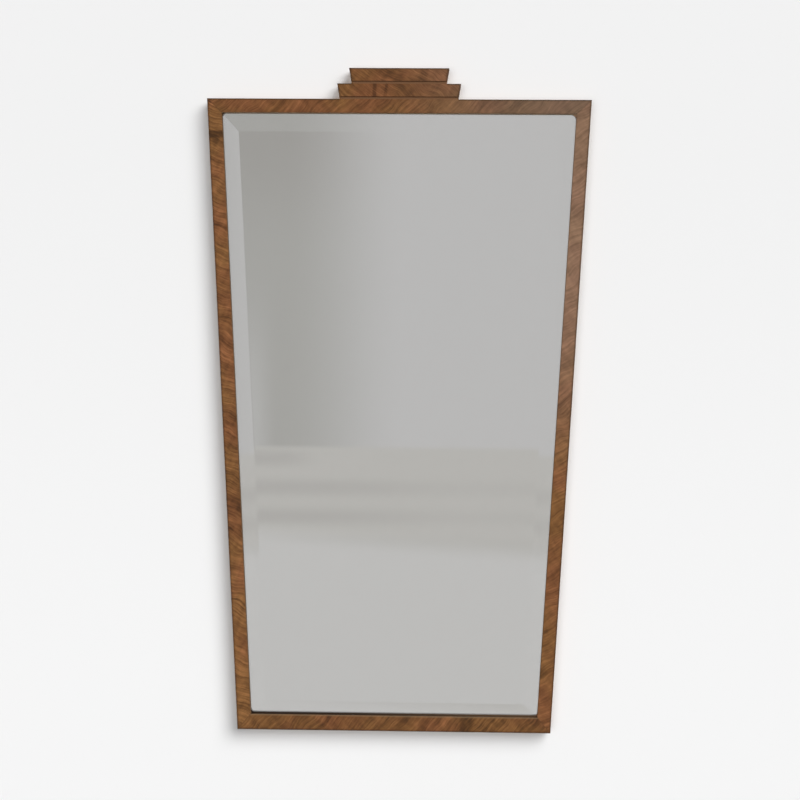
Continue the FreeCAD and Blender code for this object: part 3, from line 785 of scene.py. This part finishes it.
# %% [markdown]
# ## The four members
#
# Each member is a length of softwood with a step cut out behind, the rebate, that takes the glass and the
# board. A block is laid along its side of the frame, cut across its depth where the rebate begins, and
# the front part of its inner face is drawn inwards to make the lip. Two cuts make the mitres. The lip's
# edge, which the eye meets between veneer and glass, has its own tone on each side. It is painted pale
# at the top and lighter on the right, where the edge faces away from the light: that is painted light.
# It is brown on the left, and nearly black at the foot, where it fades a little towards the right.

# %% Shape the members
REBATE_WIDTH = -REBATE_INSET
BACK_EASE = 0.5 * MM
# How far the sight edge's tone reaches into the lip from its edge, and over what depth it ends at the lip's
# back
SIGHT_BAND, LIP_FADE = (0.3 * MM, 1.2 * MM), 0.5 * MM
# Painted light: paler at the top and on the right, where the lip's edge faces away from the light
SIGHT_EDGE_TONES = {"top": srgb(240, 212, 172), "right": srgb(206, 168, 132), "left": srgb(146, 114, 80)}


def face_width(side):
    start, inward = frame_outline.edge(side)
    return (opening_outline.edge(side)[0] - start).dot(inward)


def bar(name, side, outer, inner, front, back):
    """A straight block along one side of the frame, between two insets and two depths, in edit mode."""
    start, end = frame_outline.ends(side)
    run, inward = frame_outline.run(side), frame_outline.edge(side)[1]
    centre = (start + end) / 2 + inward * (outer + inner) / 2
    centre.y = (front + back) / 2
    size = ((end - start).length, back - front, inner - outer)
    piece = block(name, centre, size, math.atan2(-run.z, run.x))
    edit(piece)
    return piece


def mitre(side):
    for point, normal in mitres(side):
        cut(point, normal)


def sight_toned_core(side):
    """Bare pine with its grain along the member, toned at the sight edge, with painted light where that edge
    faces away from the light.
    """
    start, inward = opening_outline.edge(side)
    run = opening_outline.run(side)
    wood = plain_wood(MEMBERS[side] + "_pine", PINE, math.atan2(run.z, run.x), PINE_RINGS, run.x)
    sight = beside(wood, (start, -inward), *SIGHT_BAND)
    front = wood.step(wood.along(wood.place, (0, 1, 0)), LIP_BACK_Y, LIP_BACK_Y + LIP_FADE, 1.0, 0.0)
    edge_tone = SIGHT_EDGE_TONES.get(side) or foot_line_tone(wood)
    wood.feed("Base Color", wood.mix(wood.sum("MULTIPLY", sight, front), wood.colour, edge_tone))
    return wood.material


def member_wood(side):
    run, inward = frame_outline.run(side), frame_outline.edge(side)[1]
    wood = bar(MEMBERS[side] + "_wood", side, VENEER, face_width(side) - REBATE_WIDTH, CORE_Y, BACK_Y)
    cut((0, LIP_BACK_Y, 0), (0, 1, 0), keep_both=True)
    pick(wood, "FACE", lambda f: f.normal.dot(inward) > 0.9 and middle(f).y < LIP_BACK_Y)
    draw(inward * REBATE_WIDTH)
    mitre(side)
    ease(wood, lambda e: abs(way(e).dot(run)) > 0.9 and middle(e).y > BACK_Y - NEAR, BACK_EASE)
    done()
    fit(wood, sight_toned_core(side), "core_wood", "mirror", MEMBERS[side])


for side in MEMBERS:
    member_wood(side)

# %% [markdown]
# ## The face veneers
#
# A veneer is a thin block cut at the same mitres. Its long arrises were sanded round, and at the mitres
# the two sheets meet in a hairline, so the edges there are only just broken. The grain leans a different
# way on each member. The left stile has one strong dark streak near its top, and a run of broad dark
# bands below its middle.

# %% Lay the face veneers
ARRIS, HAIRLINE = 0.6 * MM, 0.12 * MM
GRAIN_DEGREES = {"top": 44, "right": 33, "bottom": 50, "left": -24}
SEEDS = {"top": 0.31, "right": 1.27, "bottom": 2.43, "left": 3.19}
PALER = {"top": 0.0, "right": 0.05, "bottom": -0.01, "left": 0.09}
CONTRAST = {"top": 0.9, "right": 1.0, "bottom": 1.1, "left": 1.25}


def streak(x, z, rise, half_width, depth):
    """A dark streak through a point, rising by so many degrees to the right. Lengths in millimetres."""
    turn = math.radians(rise)
    return Vector((x, 0, z)) * MM, Vector((-math.sin(turn), 0, math.cos(turn))), half_width * MM, depth


STREAKS = {
    "left": (streak(-232, 105.6, -4, 1.8, 0.24), streak(-235, 66, -4, 4.4, 0.40),
             streak(-230, -45, -20, 3, 0.18), streak(-209, -290, -15, 12, 0.18),
             streak(-207, -327, -15, 8, 0.08), streak(-205, -364, -15, 12, 0.13),
             streak(-203, -399, -12, 13, 0.28), streak(-201, -431, -12, 9, 0.18)),
    "bottom": (streak(91, -670, 84, 8, 0.20), streak(40, -670, 60, 5, 0.12)),
    "right": (streak(195, -600, 25, 6, 0.14),),
    "top": (streak(-150, 100, 50, 3, 0.14),),
}


def member_face(side):
    start, inward = frame_outline.edge(side)
    run, sight_line = frame_outline.run(side), (opening_outline.edge(side)[0], -inward)
    face = bar(MEMBERS[side] + "_facing", side, 0, face_width(side), FACE_Y, CORE_Y)
    mitre(side)
    ease(face, lambda e: abs(way(e).dot(run)) > 0.99 and middle(e).y < FACE_Y + NEAR, ARRIS, 3)
    ease(face, lambda e: abs(way(e).dot(run)) < 0.9 and middle(e).y < FACE_Y + NEAR, HAIRLINE, 1)
    done()
    reach, gap = (TOP_ARRIS, lower_tier.foot_half) if side == "top" else (SIDE_ARRIS, 0)
    dark_lines = [((start, inward), reach, gap)]
    dark_lines += [((point, -normal), MITRE_GLUE, 0) for point, normal in mitres(side)]
    worn_lit_line = sight_line if side == "bottom" else None
    # Painted shade along the opening of the top rail and the left stile
    if side in ("left", "top"):
        dark_lines.append((sight_line, INNER_SHADE, 0))
    glare_browns = PALE_GLARE if side == "right" else DULL_GLARE
    finish = veneer_finish(side + "_veneer_finish", math.radians(GRAIN_DEGREES[side]), SEEDS[side],
                           dark_lines, worn_lit_line, STREAKS[side], PALER[side], CONTRAST[side], glare_browns)
    fit(face, finish, "face_veneer", "mirror", MEMBERS[side] + "_veneer")


for side in MEMBERS:
    member_face(side)

# %% [markdown]
# ## The crest
#
# Two stacked tiers crown the top rail, each wider at its top than at its foot. Along the foot of each
# runs a sunk line, which reads as a dark stripe; its wood is painted darker there, as painted shade. A
# tier is a block of softwood with leaning sides. It is made with its whole front at the depth of the sunk
# line, and then the part above the line is drawn forward, so that no wall is left inside the wood.

# %% Shape the tiers
QUIRK_DEPTH = 2 * MM
QUIRK_FLOOR_Y = FACE_Y + QUIRK_DEPTH
COVE = 0.4 * MM             # how round the inner corner of the sunk line is
# The sunk line's painted shade: its colour, and where it fades out behind the line's floor
QUIRK_SHADE, QUIRK_SHADE_START, QUIRK_SHADE_END = srgb(116, 84, 60), 0.05 * MM, 0.5 * MM
SAW_ROOM = 2 * MM           # what a block is wider than its tier on each side, before it is cut


def tier_block(name, tier, inset, foot, top, front, back):
    """A block with a tier's leaning sides, left in edit mode."""
    size = (2 * (tier.top_half + SAW_ROOM), back - front, top - foot)
    piece = block(name, (0, (front + back) / 2, (foot + top) / 2), size)
    edit(piece)
    for side in ("left", "right"):
        start, inward = tier.edge(side, inset)
        cut(start, -inward)
    return piece


def draw_forward(piece, tier):
    """What lies above the sunk line comes forward to the core's face."""
    cut((0, 0, tier.quirk_top), (0, 0, 1), keep_both=True)
    pick(piece, "FACE", lambda f: f.normal.y < -0.9 and middle(f).z > tier.quirk_top)
    draw((0, CORE_Y - QUIRK_FLOOR_Y, 0))


# Pine, painted darker as shade in the sunk line
def quirk_shaded_tier(tier):
    wood = plain_wood(f"crest_{tier.name}_pine", PINE, 0.0, PINE_RINGS, tier.top)
    behind_floor = wood.sum("SUBTRACT", wood.along(wood.place, (0, 1, 0)), QUIRK_FLOOR_Y)
    front = wood.step(behind_floor, QUIRK_SHADE_START, QUIRK_SHADE_END, 1.0, 0.0)
    wood.feed("Base Color", wood.mix(front, wood.colour, QUIRK_SHADE))
    return wood.material


for tier in (lower_tier, upper_tier):
    foot, top = tier.base - VENEER, tier.top - VENEER
    wood = tier_block(f"crest_{tier.name}_wood", tier, VENEER, foot, top, QUIRK_FLOOR_Y, BACK_Y)
    draw_forward(wood, tier)
    inner_corner = Vector((0, QUIRK_FLOOR_Y, tier.quirk_top))
    ease(wood, lambda e: abs(way(e).x) > 0.9 and (middle(e) - inner_corner).length < COVE, COVE, 3)
    done()
    fit(wood, quirk_shaded_tier(tier), "core_wood", "mirror", f"crest_{tier.name}_block")

# %% [markdown]
# Each tier has its own piece of veneer, with the grain leaning the other way from the rail's, and all
# four front arrises sanded round. The lower one shows two upright dark streaks left of its middle.

# %% Face the tiers
TIER_GRAIN_DEGREES = {"lower": -38, "upper": -30}
TIER_STREAKS = {
    "lower": (streak(-30.5, 120, 88, 2.6, 0.22), streak(-16.5, 120, 82, 2, 0.16)),
    "upper": (streak(31, 140, 75, 5, 0.12),),
}
for tier in (lower_tier, upper_tier):
    face = tier_block(f"crest_{tier.name}_facing", tier, 0, tier.quirk_top, tier.top, FACE_Y, CORE_Y)
    ease(face, lambda e: abs(way(e).y) < 0.1 and middle(e).y < FACE_Y + NEAR, ARRIS, 3)
    done()
    top_gap = upper_tier.foot_half if tier is lower_tier else 0
    arrises = ("top", TOP_ARRIS, top_gap), ("right", SIDE_ARRIS, 0), ("left", SIDE_ARRIS, 0)
    dark_lines = [(tier.edge(side), reach, gap) for side, reach, gap in arrises]
    grain = math.radians(TIER_GRAIN_DEGREES[tier.name])
    finish = veneer_finish(f"crest_{tier.name}_veneer_finish", grain, tier.top * 10, dark_lines,
                           streaks=TIER_STREAKS[tier.name])
    fit(face, finish, "face_veneer", "mirror", f"crest_{tier.name}_veneer")

# %% [markdown]
# ## Veneer on the edges
#
# The outer edges of the frame and the sides and tops of the tiers are covered with narrow strips, so that
# no bare wood shows from the side. The grain runs across a strip, from front to back. Where a tier stands
# on a strip, the strip is made twice, and each copy is cut off at one side of the tier.

# %% Lay the strips
STRIP_EASE = 0.3 * MM


def join(name, pieces):
    take(pieces[0])
    for piece in pieces[1:]:
        piece.select_set(True)
    bpy.ops.object.join()
    return settle(pieces[0], name)


def past(tier, make):
    """Both ends of a strip that a tier interrupts."""
    ends = []
    for side in ("left", "right"):
        piece = make(side)
        cut(*tier.edge(side))
        done()
        ends.append(piece)
    return ends


def edge_strip(side, name):
    start, inward = frame_outline.edge(side)
    run = frame_outline.run(side)
    strip = bar(name, side, 0, VENEER, CORE_Y, BACK_Y)
    mitre(side)
    ease(strip, lambda e: abs(way(e).dot(run)) > 0.9 and middle(e).y > BACK_Y - NEAR
         and (middle(e) - start).dot(inward) < NEAR, STRIP_EASE)
    return strip


def tier_strips(tier, above):
    """The strips on a tier's leaning sides and on its top."""
    name = f"crest_{tier.name}_strip_"
    strips = []
    for side in ("left", "right"):
        strip = tier_block(name + side, tier, 0, tier.base - VENEER, tier.top - VENEER, QUIRK_FLOOR_Y, BACK_Y)
        cut(*tier.edge(side, VENEER))
        draw_forward(strip, tier)
        done()
        strips.append(strip)

    def cap(end):
        return tier_block(name + "top_" + end, tier, 0, tier.top - VENEER, tier.top, CORE_Y, BACK_Y)

    if above:
        return strips + past(above, cap)
    strips.append(cap("whole"))
    done()
    return strips


strip_finish = veneer_finish("strip_finish", math.radians(45), 5.21)
for side in MEMBERS:
    name = side + "_strip"
    if side == "top":
        strip = join(name, past(lower_tier, lambda end: edge_strip("top", "top_strip_" + end)))
    else:
        strip = edge_strip(side, name)
        done()
    fit(strip, strip_finish, "edge_banding", "mirror", side + "_edge_banding")
for tier, above in ((lower_tier, upper_tier), (upper_tier, None)):
    strips = join(f"crest_{tier.name}_strips", tier_strips(tier, above))
    fit(strips, strip_finish, "edge_banding", "mirror", f"crest_{tier.name}_banding")

# %% [markdown]
# ## The board at the back
#
# Four millimetres of birch plywood close the rebate. It was peeled from the log, so its figure is broad
# and wandering, and its edge shows three plies, the middle one end grain and darker. Years against a wall
# have left it browner towards its rim, with a few faint stains.

# %% Cut the board
BOARD_EASE = 0.3 * MM
RIM_BAND, RIM_BROWN = (0, 45 * MM, 0.35), srgb(120, 84, 52)


def board_finish(low, high):
    board = plain_wood("birch_board", BIRCH, math.pi / 2, BIRCH_RINGS, 0.7)
    depth = board.along(board.place, (0, 1, 0))
    middle_y, half_ply = (low.y + high.y) / 2, (high.y - low.y) / 6
    from_middle = board.sum("ABSOLUTE", board.sum("SUBTRACT", depth, middle_y))
    end_grain = board.step(from_middle, 0.9 * half_ply, 1.1 * half_ply, 0.8, 0.0)
    colour = board.mix(end_grain, board.colour, srgb(122, 84, 50))
    stains = board.noise(board.place, (7, 7, 7), 4, 0.6)
    colour = board.mix(board.step(stains, 0.52, 0.68, 0.0, 0.45), colour, srgb(140, 100, 60))
    for side in Outline.SIDES:
        colour = board.mix(beside(board, opening_outline.edge(side), *RIM_BAND), colour, RIM_BROWN)
    board.feed("Base Color", colour)
    return board.material


board_low, board_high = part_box("back_panel")
board = plate("back_board", OPENING_TOP_Z - board_high.z, board_low.y, board_high.y)
ease(board, lambda e: middle(e).y > board_high.y - NEAR and abs(way(e).y) < 0.1, BOARD_EASE)
done()
fit(board, board_finish(board_low, board_high), "plywood", "mirror", "back_panel")

# %% [markdown]
# ## Brass
#
# The turn buttons, the straps and the screws are brass that was never polished again. It has gone dull
# and brown, with darker spots where it was handled, and stays brighter where it rubs.

# %% Mix the brass
def brass_finish(name, seed):
    brass = Finish(name, Metallic=1.0)
    cloud = brass.noise(brass.turned(0.0, seed), (170, 170, 170), 3, 0.6)
    spots = brass.step(brass.noise(brass.turned(0.6, seed), (900, 900, 900), 2), 0.58, 0.70)
    scratches = brass.noise(brass.turned(0.5, seed), (300, 300, 5200), 1)
    colour = brass.ramp(cloud, (0.3, srgb(112, 88, 50)), (0.7, srgb(176, 144, 86)))
    brass.feed("Base Color", brass.mix(brass.sum("MULTIPLY", spots, 0.6), colour, srgb(74, 58, 38)))
    brass.feed("Roughness", brass.weigh((cloud, -0.5), (scratches, 0.4)))
    brass.bump(scratches, 0.01 * MM)
    return brass.material


button_brass, strap_brass = brass_finish("button_brass", 0.0), brass_finish("strap_brass", 0.4)
print("brass ready")

# %% [markdown]
# ## One screw, ten times
#
# The screws have round slotted heads. A ball is cut off flat at the head's underside, the flat is inset
# to the shank's width and drawn out, and drawn out once more to a point. A thin block takes the slot out
# of the head with a Boolean modifier. It is modelled once, along Y with its head's top at the origin, and
# copied to each place, each copy turned as the screwdriver happened to leave it.

# %% Turn the screws
SCREW_HEAD, SCREW_HEAD_HEIGHT, SCREW_SHANK = 5.6 * MM, 1.8 * MM, 2.8 * MM
SCREW_LENGTH, SCREW_POINT = 12 * MM, 3 * MM
SLOT_WIDTH, SLOT_DEPTH = 0.7 * MM, 0.8 * MM
POINT_SHARE = 0.08          # what is left of the shank's width at the point
CHANCE_TURN = 1.9           # radians from one screw's slot to the next one's


def carve(piece, cutter):
    """Takes one piece out of another."""
    modify(piece, "BOOLEAN", object=cutter, operation="DIFFERENCE", solver="MANIFOLD")
    bpy.data.objects.remove(cutter)


def rod(name, place, radius, length, corners):
    """A round rod from front to back."""
    bpy.ops.object.select_all(action="DESELECT")
    bpy.ops.mesh.primitive_cylinder_add(vertices=corners, radius=radius, depth=length, location=place,
                                        rotation=TO_FRONT)
    return settle(bpy.context.object, name)


def bore(piece, place, radius, length):
    """A round hole from front to back. The piece is halved both ways first, so that no face is a ring."""
    edit(piece)
    for normal in ((1, 0, 0), (0, 0, 1)):
        cut(place, normal, keep_both=True)
    done()
    carve(piece, rod("drill", place, radius, length, 32))


def screw_model():
    head, shank = SCREW_HEAD / 2, SCREW_SHANK / 2
    dome = (head ** 2 + SCREW_HEAD_HEIGHT ** 2) / (2 * SCREW_HEAD_HEIGHT)
    bpy.ops.object.select_all(action="DESELECT")
    bpy.ops.mesh.primitive_uv_sphere_add(segments=32, ring_count=40, radius=dome, location=(0, -dome, 0),
                                         rotation=TO_FRONT)
    screw = settle(bpy.context.object, "screw_model")
    edit(screw)
    cut((0, -SCREW_HEAD_HEIGHT, 0), (0, -1, 0))
    pick(screw, "FACE", lambda f: f.normal.y < -0.99 and middle(f).y < -SCREW_HEAD_HEIGHT + NEAR)
    bpy.ops.mesh.inset(thickness=head - shank)
    draw((0, SCREW_POINT - SCREW_LENGTH, 0))
    draw((0, -SCREW_POINT, 0))
    bpy.ops.transform.resize(value=(POINT_SHARE, 1, POINT_SHARE))
    done()
    carve(screw, block("slot", (0, 0, 0), (SLOT_WIDTH, 2 * SLOT_DEPTH, 2 * SCREW_HEAD)))
    bpy.ops.object.shade_smooth_by_angle(angle=math.radians(35))
    return screw


def copy_to(model, name, place, turn):
    """A copy with its own mesh, turned about the Y axis and put in its place."""
    copy = model.copy()
    copy.data = model.data.copy()
    bpy.context.collection.objects.link(copy)
    copy.location, copy.rotation_euler = place, (0, turn, 0)
    return settle(copy, name)


def put_screws(name, places, node, brass):
    model = screw_model()
    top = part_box(node)[1].y
    copies = [copy_to(model, f"{name}_{i}", (x, top, z), CHANCE_TURN * i) for i, (x, z) in enumerate(places)]
    bpy.data.objects.remove(model)
    fit(join(name, copies), brass, "brass", "mirror", node)


joints = {joint["child"]: Vector(joint["pos_m"]) for joint in frame["joints"]}
pivots = {body: place for body, place in joints.items() if body.startswith("button_")}
put_screws("button_screws", [(p.x, p.z) for p in pivots.values()], "turn_button_screws", button_brass)

# %% [markdown]
# ## Turn buttons
#
# Six flat buttons hold the board in. Each is a strip with round ends, pivoted near one end on its screw.
# The corners of a block are rounded by a bevel of half its width, the upper arris is broken, and the hole
# is bored. The model is made along X with its pivot at the origin. Its copies take their pivots from the
# joints and the way they point from the solids, and each rides on its own body, because it turns.

# %% Make the turn buttons
BUTTON_EDGE, BUTTON_BORE = 0.4 * MM, 1.48 * MM


def button_model():
    low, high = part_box("turn_button_top")
    width, length = high.x - low.x, high.z - low.z
    place = ((length - width) / 2, (low.y + high.y) / 2, 0)
    button = block("button_model", place, (length, high.y - low.y, width))
    edit(button)
    ease(button, lambda e: abs(way(e).y) > 0.9, width / 2 - NEAR, 10)
    ease(button, lambda e: abs(way(e).y) < 0.1 and middle(e).y > high.y - NEAR, BUTTON_EDGE, 3)
    done()
    bore(button, (0, high.y, 0), BUTTON_BORE, 4 * (high.y - low.y))
    bpy.ops.object.shade_smooth_by_angle(angle=math.radians(30))
    return button


button = button_model()
for body, pivot in pivots.items():
    node = "turn_" + body
    low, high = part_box(node)
    tail = (low + high) / 2 - pivot
    turned_button = copy_to(button, body + "_plate", (pivot.x, 0, pivot.z), math.atan2(-tail.z, tail.x))
    fit(turned_button, button_brass, "brass", body, node)
bpy.data.objects.remove(button)

# %% [markdown]
# ## Hanger straps and rings
#
# Each hanger is a brass strip, rolled over at its top round the bar of a wire ring. The strip is a block
# with its lower corners rounded. The roll is a spin: the strip's end face is swept round the bar's axis,
# as the real strip was bent round it. The ring is swept too: a circle is drawn along the bar, spun round
# a corner, drawn up the side, spun over the bow, and so on back to where it began. Its body is its own,
# because it swings.

# %% Bend the straps
STRAP_THICKNESS, STRAP_WIDTH, STRAP_LENGTH = 0.8 * MM, 9.2 * MM, 30 * MM
SCREW_DROPS, HOLE_FIT = (9 * MM, 23.5 * MM), 0.1 * MM
CURL_ANGLE = math.radians(305)
WIRE, RING_WIDTH, RING_HEIGHT, RING_CORNER = 2 * MM, 13 * MM, 14 * MM, 1.6 * MM


def face_outwards():
    bpy.ops.mesh.select_all(action="SELECT")
    bpy.ops.mesh.normals_make_consistent(inside=False)


def strap(side, axis):
    """A strip up the frame's back, rolled round the bar's axis."""
    foot = axis.z - STRAP_LENGTH
    place = (axis.x, BACK_Y + STRAP_THICKNESS / 2, (axis.z + foot) / 2)
    strip = block(side + "_strap", place, (STRAP_WIDTH, STRAP_THICKNESS, STRAP_LENGTH))
    edit(strip)
    ease(strip, lambda e: abs(way(e).y) > 0.9 and middle(e).z < foot + NEAR, STRAP_WIDTH / 2 - NEAR, 10)
    done()
    for drop in SCREW_DROPS:
        bore(strip, (axis.x, BACK_Y, axis.z - drop), SCREW_SHANK / 2 + HOLE_FIT, 4 * STRAP_THICKNESS)
    edit(strip)
    pick(strip, "FACE", lambda f: f.normal.z > 0.9 and middle(f).z > axis.z - NEAR)
    bpy.ops.mesh.spin(steps=24, angle=CURL_ANGLE, center=axis, axis=(1, 0, 0))
    face_outwards()
    done()
    bpy.ops.object.shade_smooth_by_angle(angle=math.radians(30))
    fit(strip, strap_brass, "brass", "mirror", side + "_hanger_strap")


def bend(about, degrees, steps):
    bpy.ops.mesh.spin(steps=steps, angle=math.radians(degrees), center=about, axis=(0, 1, 0))


def wire_ring(side, axis):
    """A closed wire bow on a straight bar, leaning back against the frame."""
    half, straight = RING_WIDTH / 2, RING_WIDTH / 2 - RING_CORNER
    shoulder = RING_HEIGHT - half
    bpy.ops.object.select_all(action="DESELECT")
    bpy.ops.mesh.primitive_circle_add(vertices=24, radius=WIRE / 2, rotation=(0, math.pi / 2, 0))
    ring = settle(bpy.context.object, side + "_ring_wire")
    edit(ring)
    bpy.ops.mesh.select_mode(type="VERT")
    bpy.ops.mesh.select_all(action="SELECT")
    draw((straight, 0, 0))
    bend((straight, 0, RING_CORNER), 90, 8)
    draw((0, 0, shoulder - RING_CORNER))
    bend((0, 0, shoulder), 180, 28)
    draw((0, 0, RING_CORNER - shoulder))
    bend((-straight, 0, RING_CORNER), 90, 8)
    draw((straight, 0, 0))
    bpy.ops.mesh.select_all(action="SELECT")
    bpy.ops.mesh.remove_doubles(threshold=NEAR)
    face_outwards()
    done()
    bpy.ops.object.shade_smooth()
    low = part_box(side + "_hanger_ring")[0]
    lean = math.asin((axis.y - WIRE / 2 - low.y) / RING_HEIGHT)
    ring.location, ring.rotation_euler = axis, (lean, 0, 0)
    fit(settle(ring), strap_brass, "brass", side + "_ring", side + "_hanger_ring")


for side in ("left", "right"):
    strap(side, joints[side + "_ring"])
    wire_ring(side, joints[side + "_ring"])
hanger_places = [(joints[side + "_ring"].x, joints[side + "_ring"].z - drop) for side in ("left", "right")
                 for drop in SCREW_DROPS]
put_screws("strap_screws", hanger_places, "hanger_screws", strap_brass)

# %% [markdown]
# ## Cork
#
# Two cork discs keep the lower corners off the wall, so that the mirror hangs level and doesn't rub.
# Pressed cork is grains of many browns in a dark glue, which is what a Voronoi texture draws: each cell
# gets its own brown, and the cell's border is darker and lower.

# %% Press the cork
CORK_GRAINS = 900.0         # a metre
PAD_EASE, PAD_FOOT_EASE = 0.6 * MM, 0.15 * MM


def cork_finish():
    cork = Finish("pressed_cork", Roughness=0.9, Specular_IOR_Level=0.15)
    grains = cork.add("TexVoronoi", {"Vector": cork.place, "Scale": CORK_GRAINS})
    browns = cork.add("SeparateColor", (grains.outputs["Color"],)).outputs[0]
    borders = cork.add("TexVoronoi", {"Vector": cork.place, "Scale": CORK_GRAINS}, feature="DISTANCE_TO_EDGE")
    edge = cork.step(borders.outputs["Distance"], 0.0, 0.12)
    colour = cork.ramp(browns, (0.1, srgb(128, 88, 54)), (0.9, srgb(188, 146, 98)))
    cork.feed("Base Color", cork.mix(edge, srgb(80, 54, 34), colour))
    cork.bump(edge, 0.08 * MM)
    return cork.material


cork = cork_finish()
pad_low, pad_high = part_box("wall_pads")
pad_middle, pad_radius = (pad_low + pad_high) / 2, (pad_high.z - pad_low.z) / 2
pads = []
for side, x in (("left", pad_low.x + pad_radius), ("right", pad_high.x - pad_radius)):
    pad = rod(side + "_pad", (x, pad_middle.y, pad_middle.z), pad_radius, pad_high.y - pad_low.y, 48)
    edit(pad)
    ease(pad, lambda e: middle(e).y > pad_high.y - NEAR, PAD_EASE, 3)
    ease(pad, lambda e: middle(e).y < pad_low.y + NEAR, PAD_FOOT_EASE, 1)
    done()
    bpy.ops.object.shade_smooth_by_angle(angle=math.radians(35))
    pads.append(pad)
fit(join("cork_pads", pads), cork, "cork", "mirror", "wall_pads")

# %% [markdown]
# ## What lies inside
#
# The battens, pins, dowels, feathers and cork slips are right as they are: plain sawn or turned pieces,
# hardly seen in the finished mirror. They keep their solids and get the finish of what they are made of.

# %% Dress the kept pieces
def steel_finish():
    steel = Finish("pin_steel", Metallic=1.0)
    rust = steel.noise(steel.place, (700, 700, 700), 3)
    steel.feed("Base Color", steel.ramp(rust, (0.45, srgb(150, 148, 144)), (0.65, srgb(98, 72, 52))))
    steel.feed("Roughness", steel.step(rust, 0.4, 0.65, 0.35, 0.7))
    return steel.material


BATTENS = {"level": (0.0, ("top", "bottom")), "upright": (math.pi / 2, ("left", "right"))}
beech = plain_wood("beech", BEECH, math.pi / 2, BEECH_RINGS, 0.3).material
for run, (grain, sides) in BATTENS.items():
    batten = plain_wood(run + "_batten_pine", BATTEN_PINE, grain, BATTEN_RINGS, grain).material
    for side in sides:
        dress(side + "_batten", batten)
for node in ("crest_dowels", "tier_dowels", "corner_splines"):
    dress(node, beech)
for node in ("setting_blocks", "glass_spacers"):
    dress(node, cork)
dress("batten_pins", steel_finish())
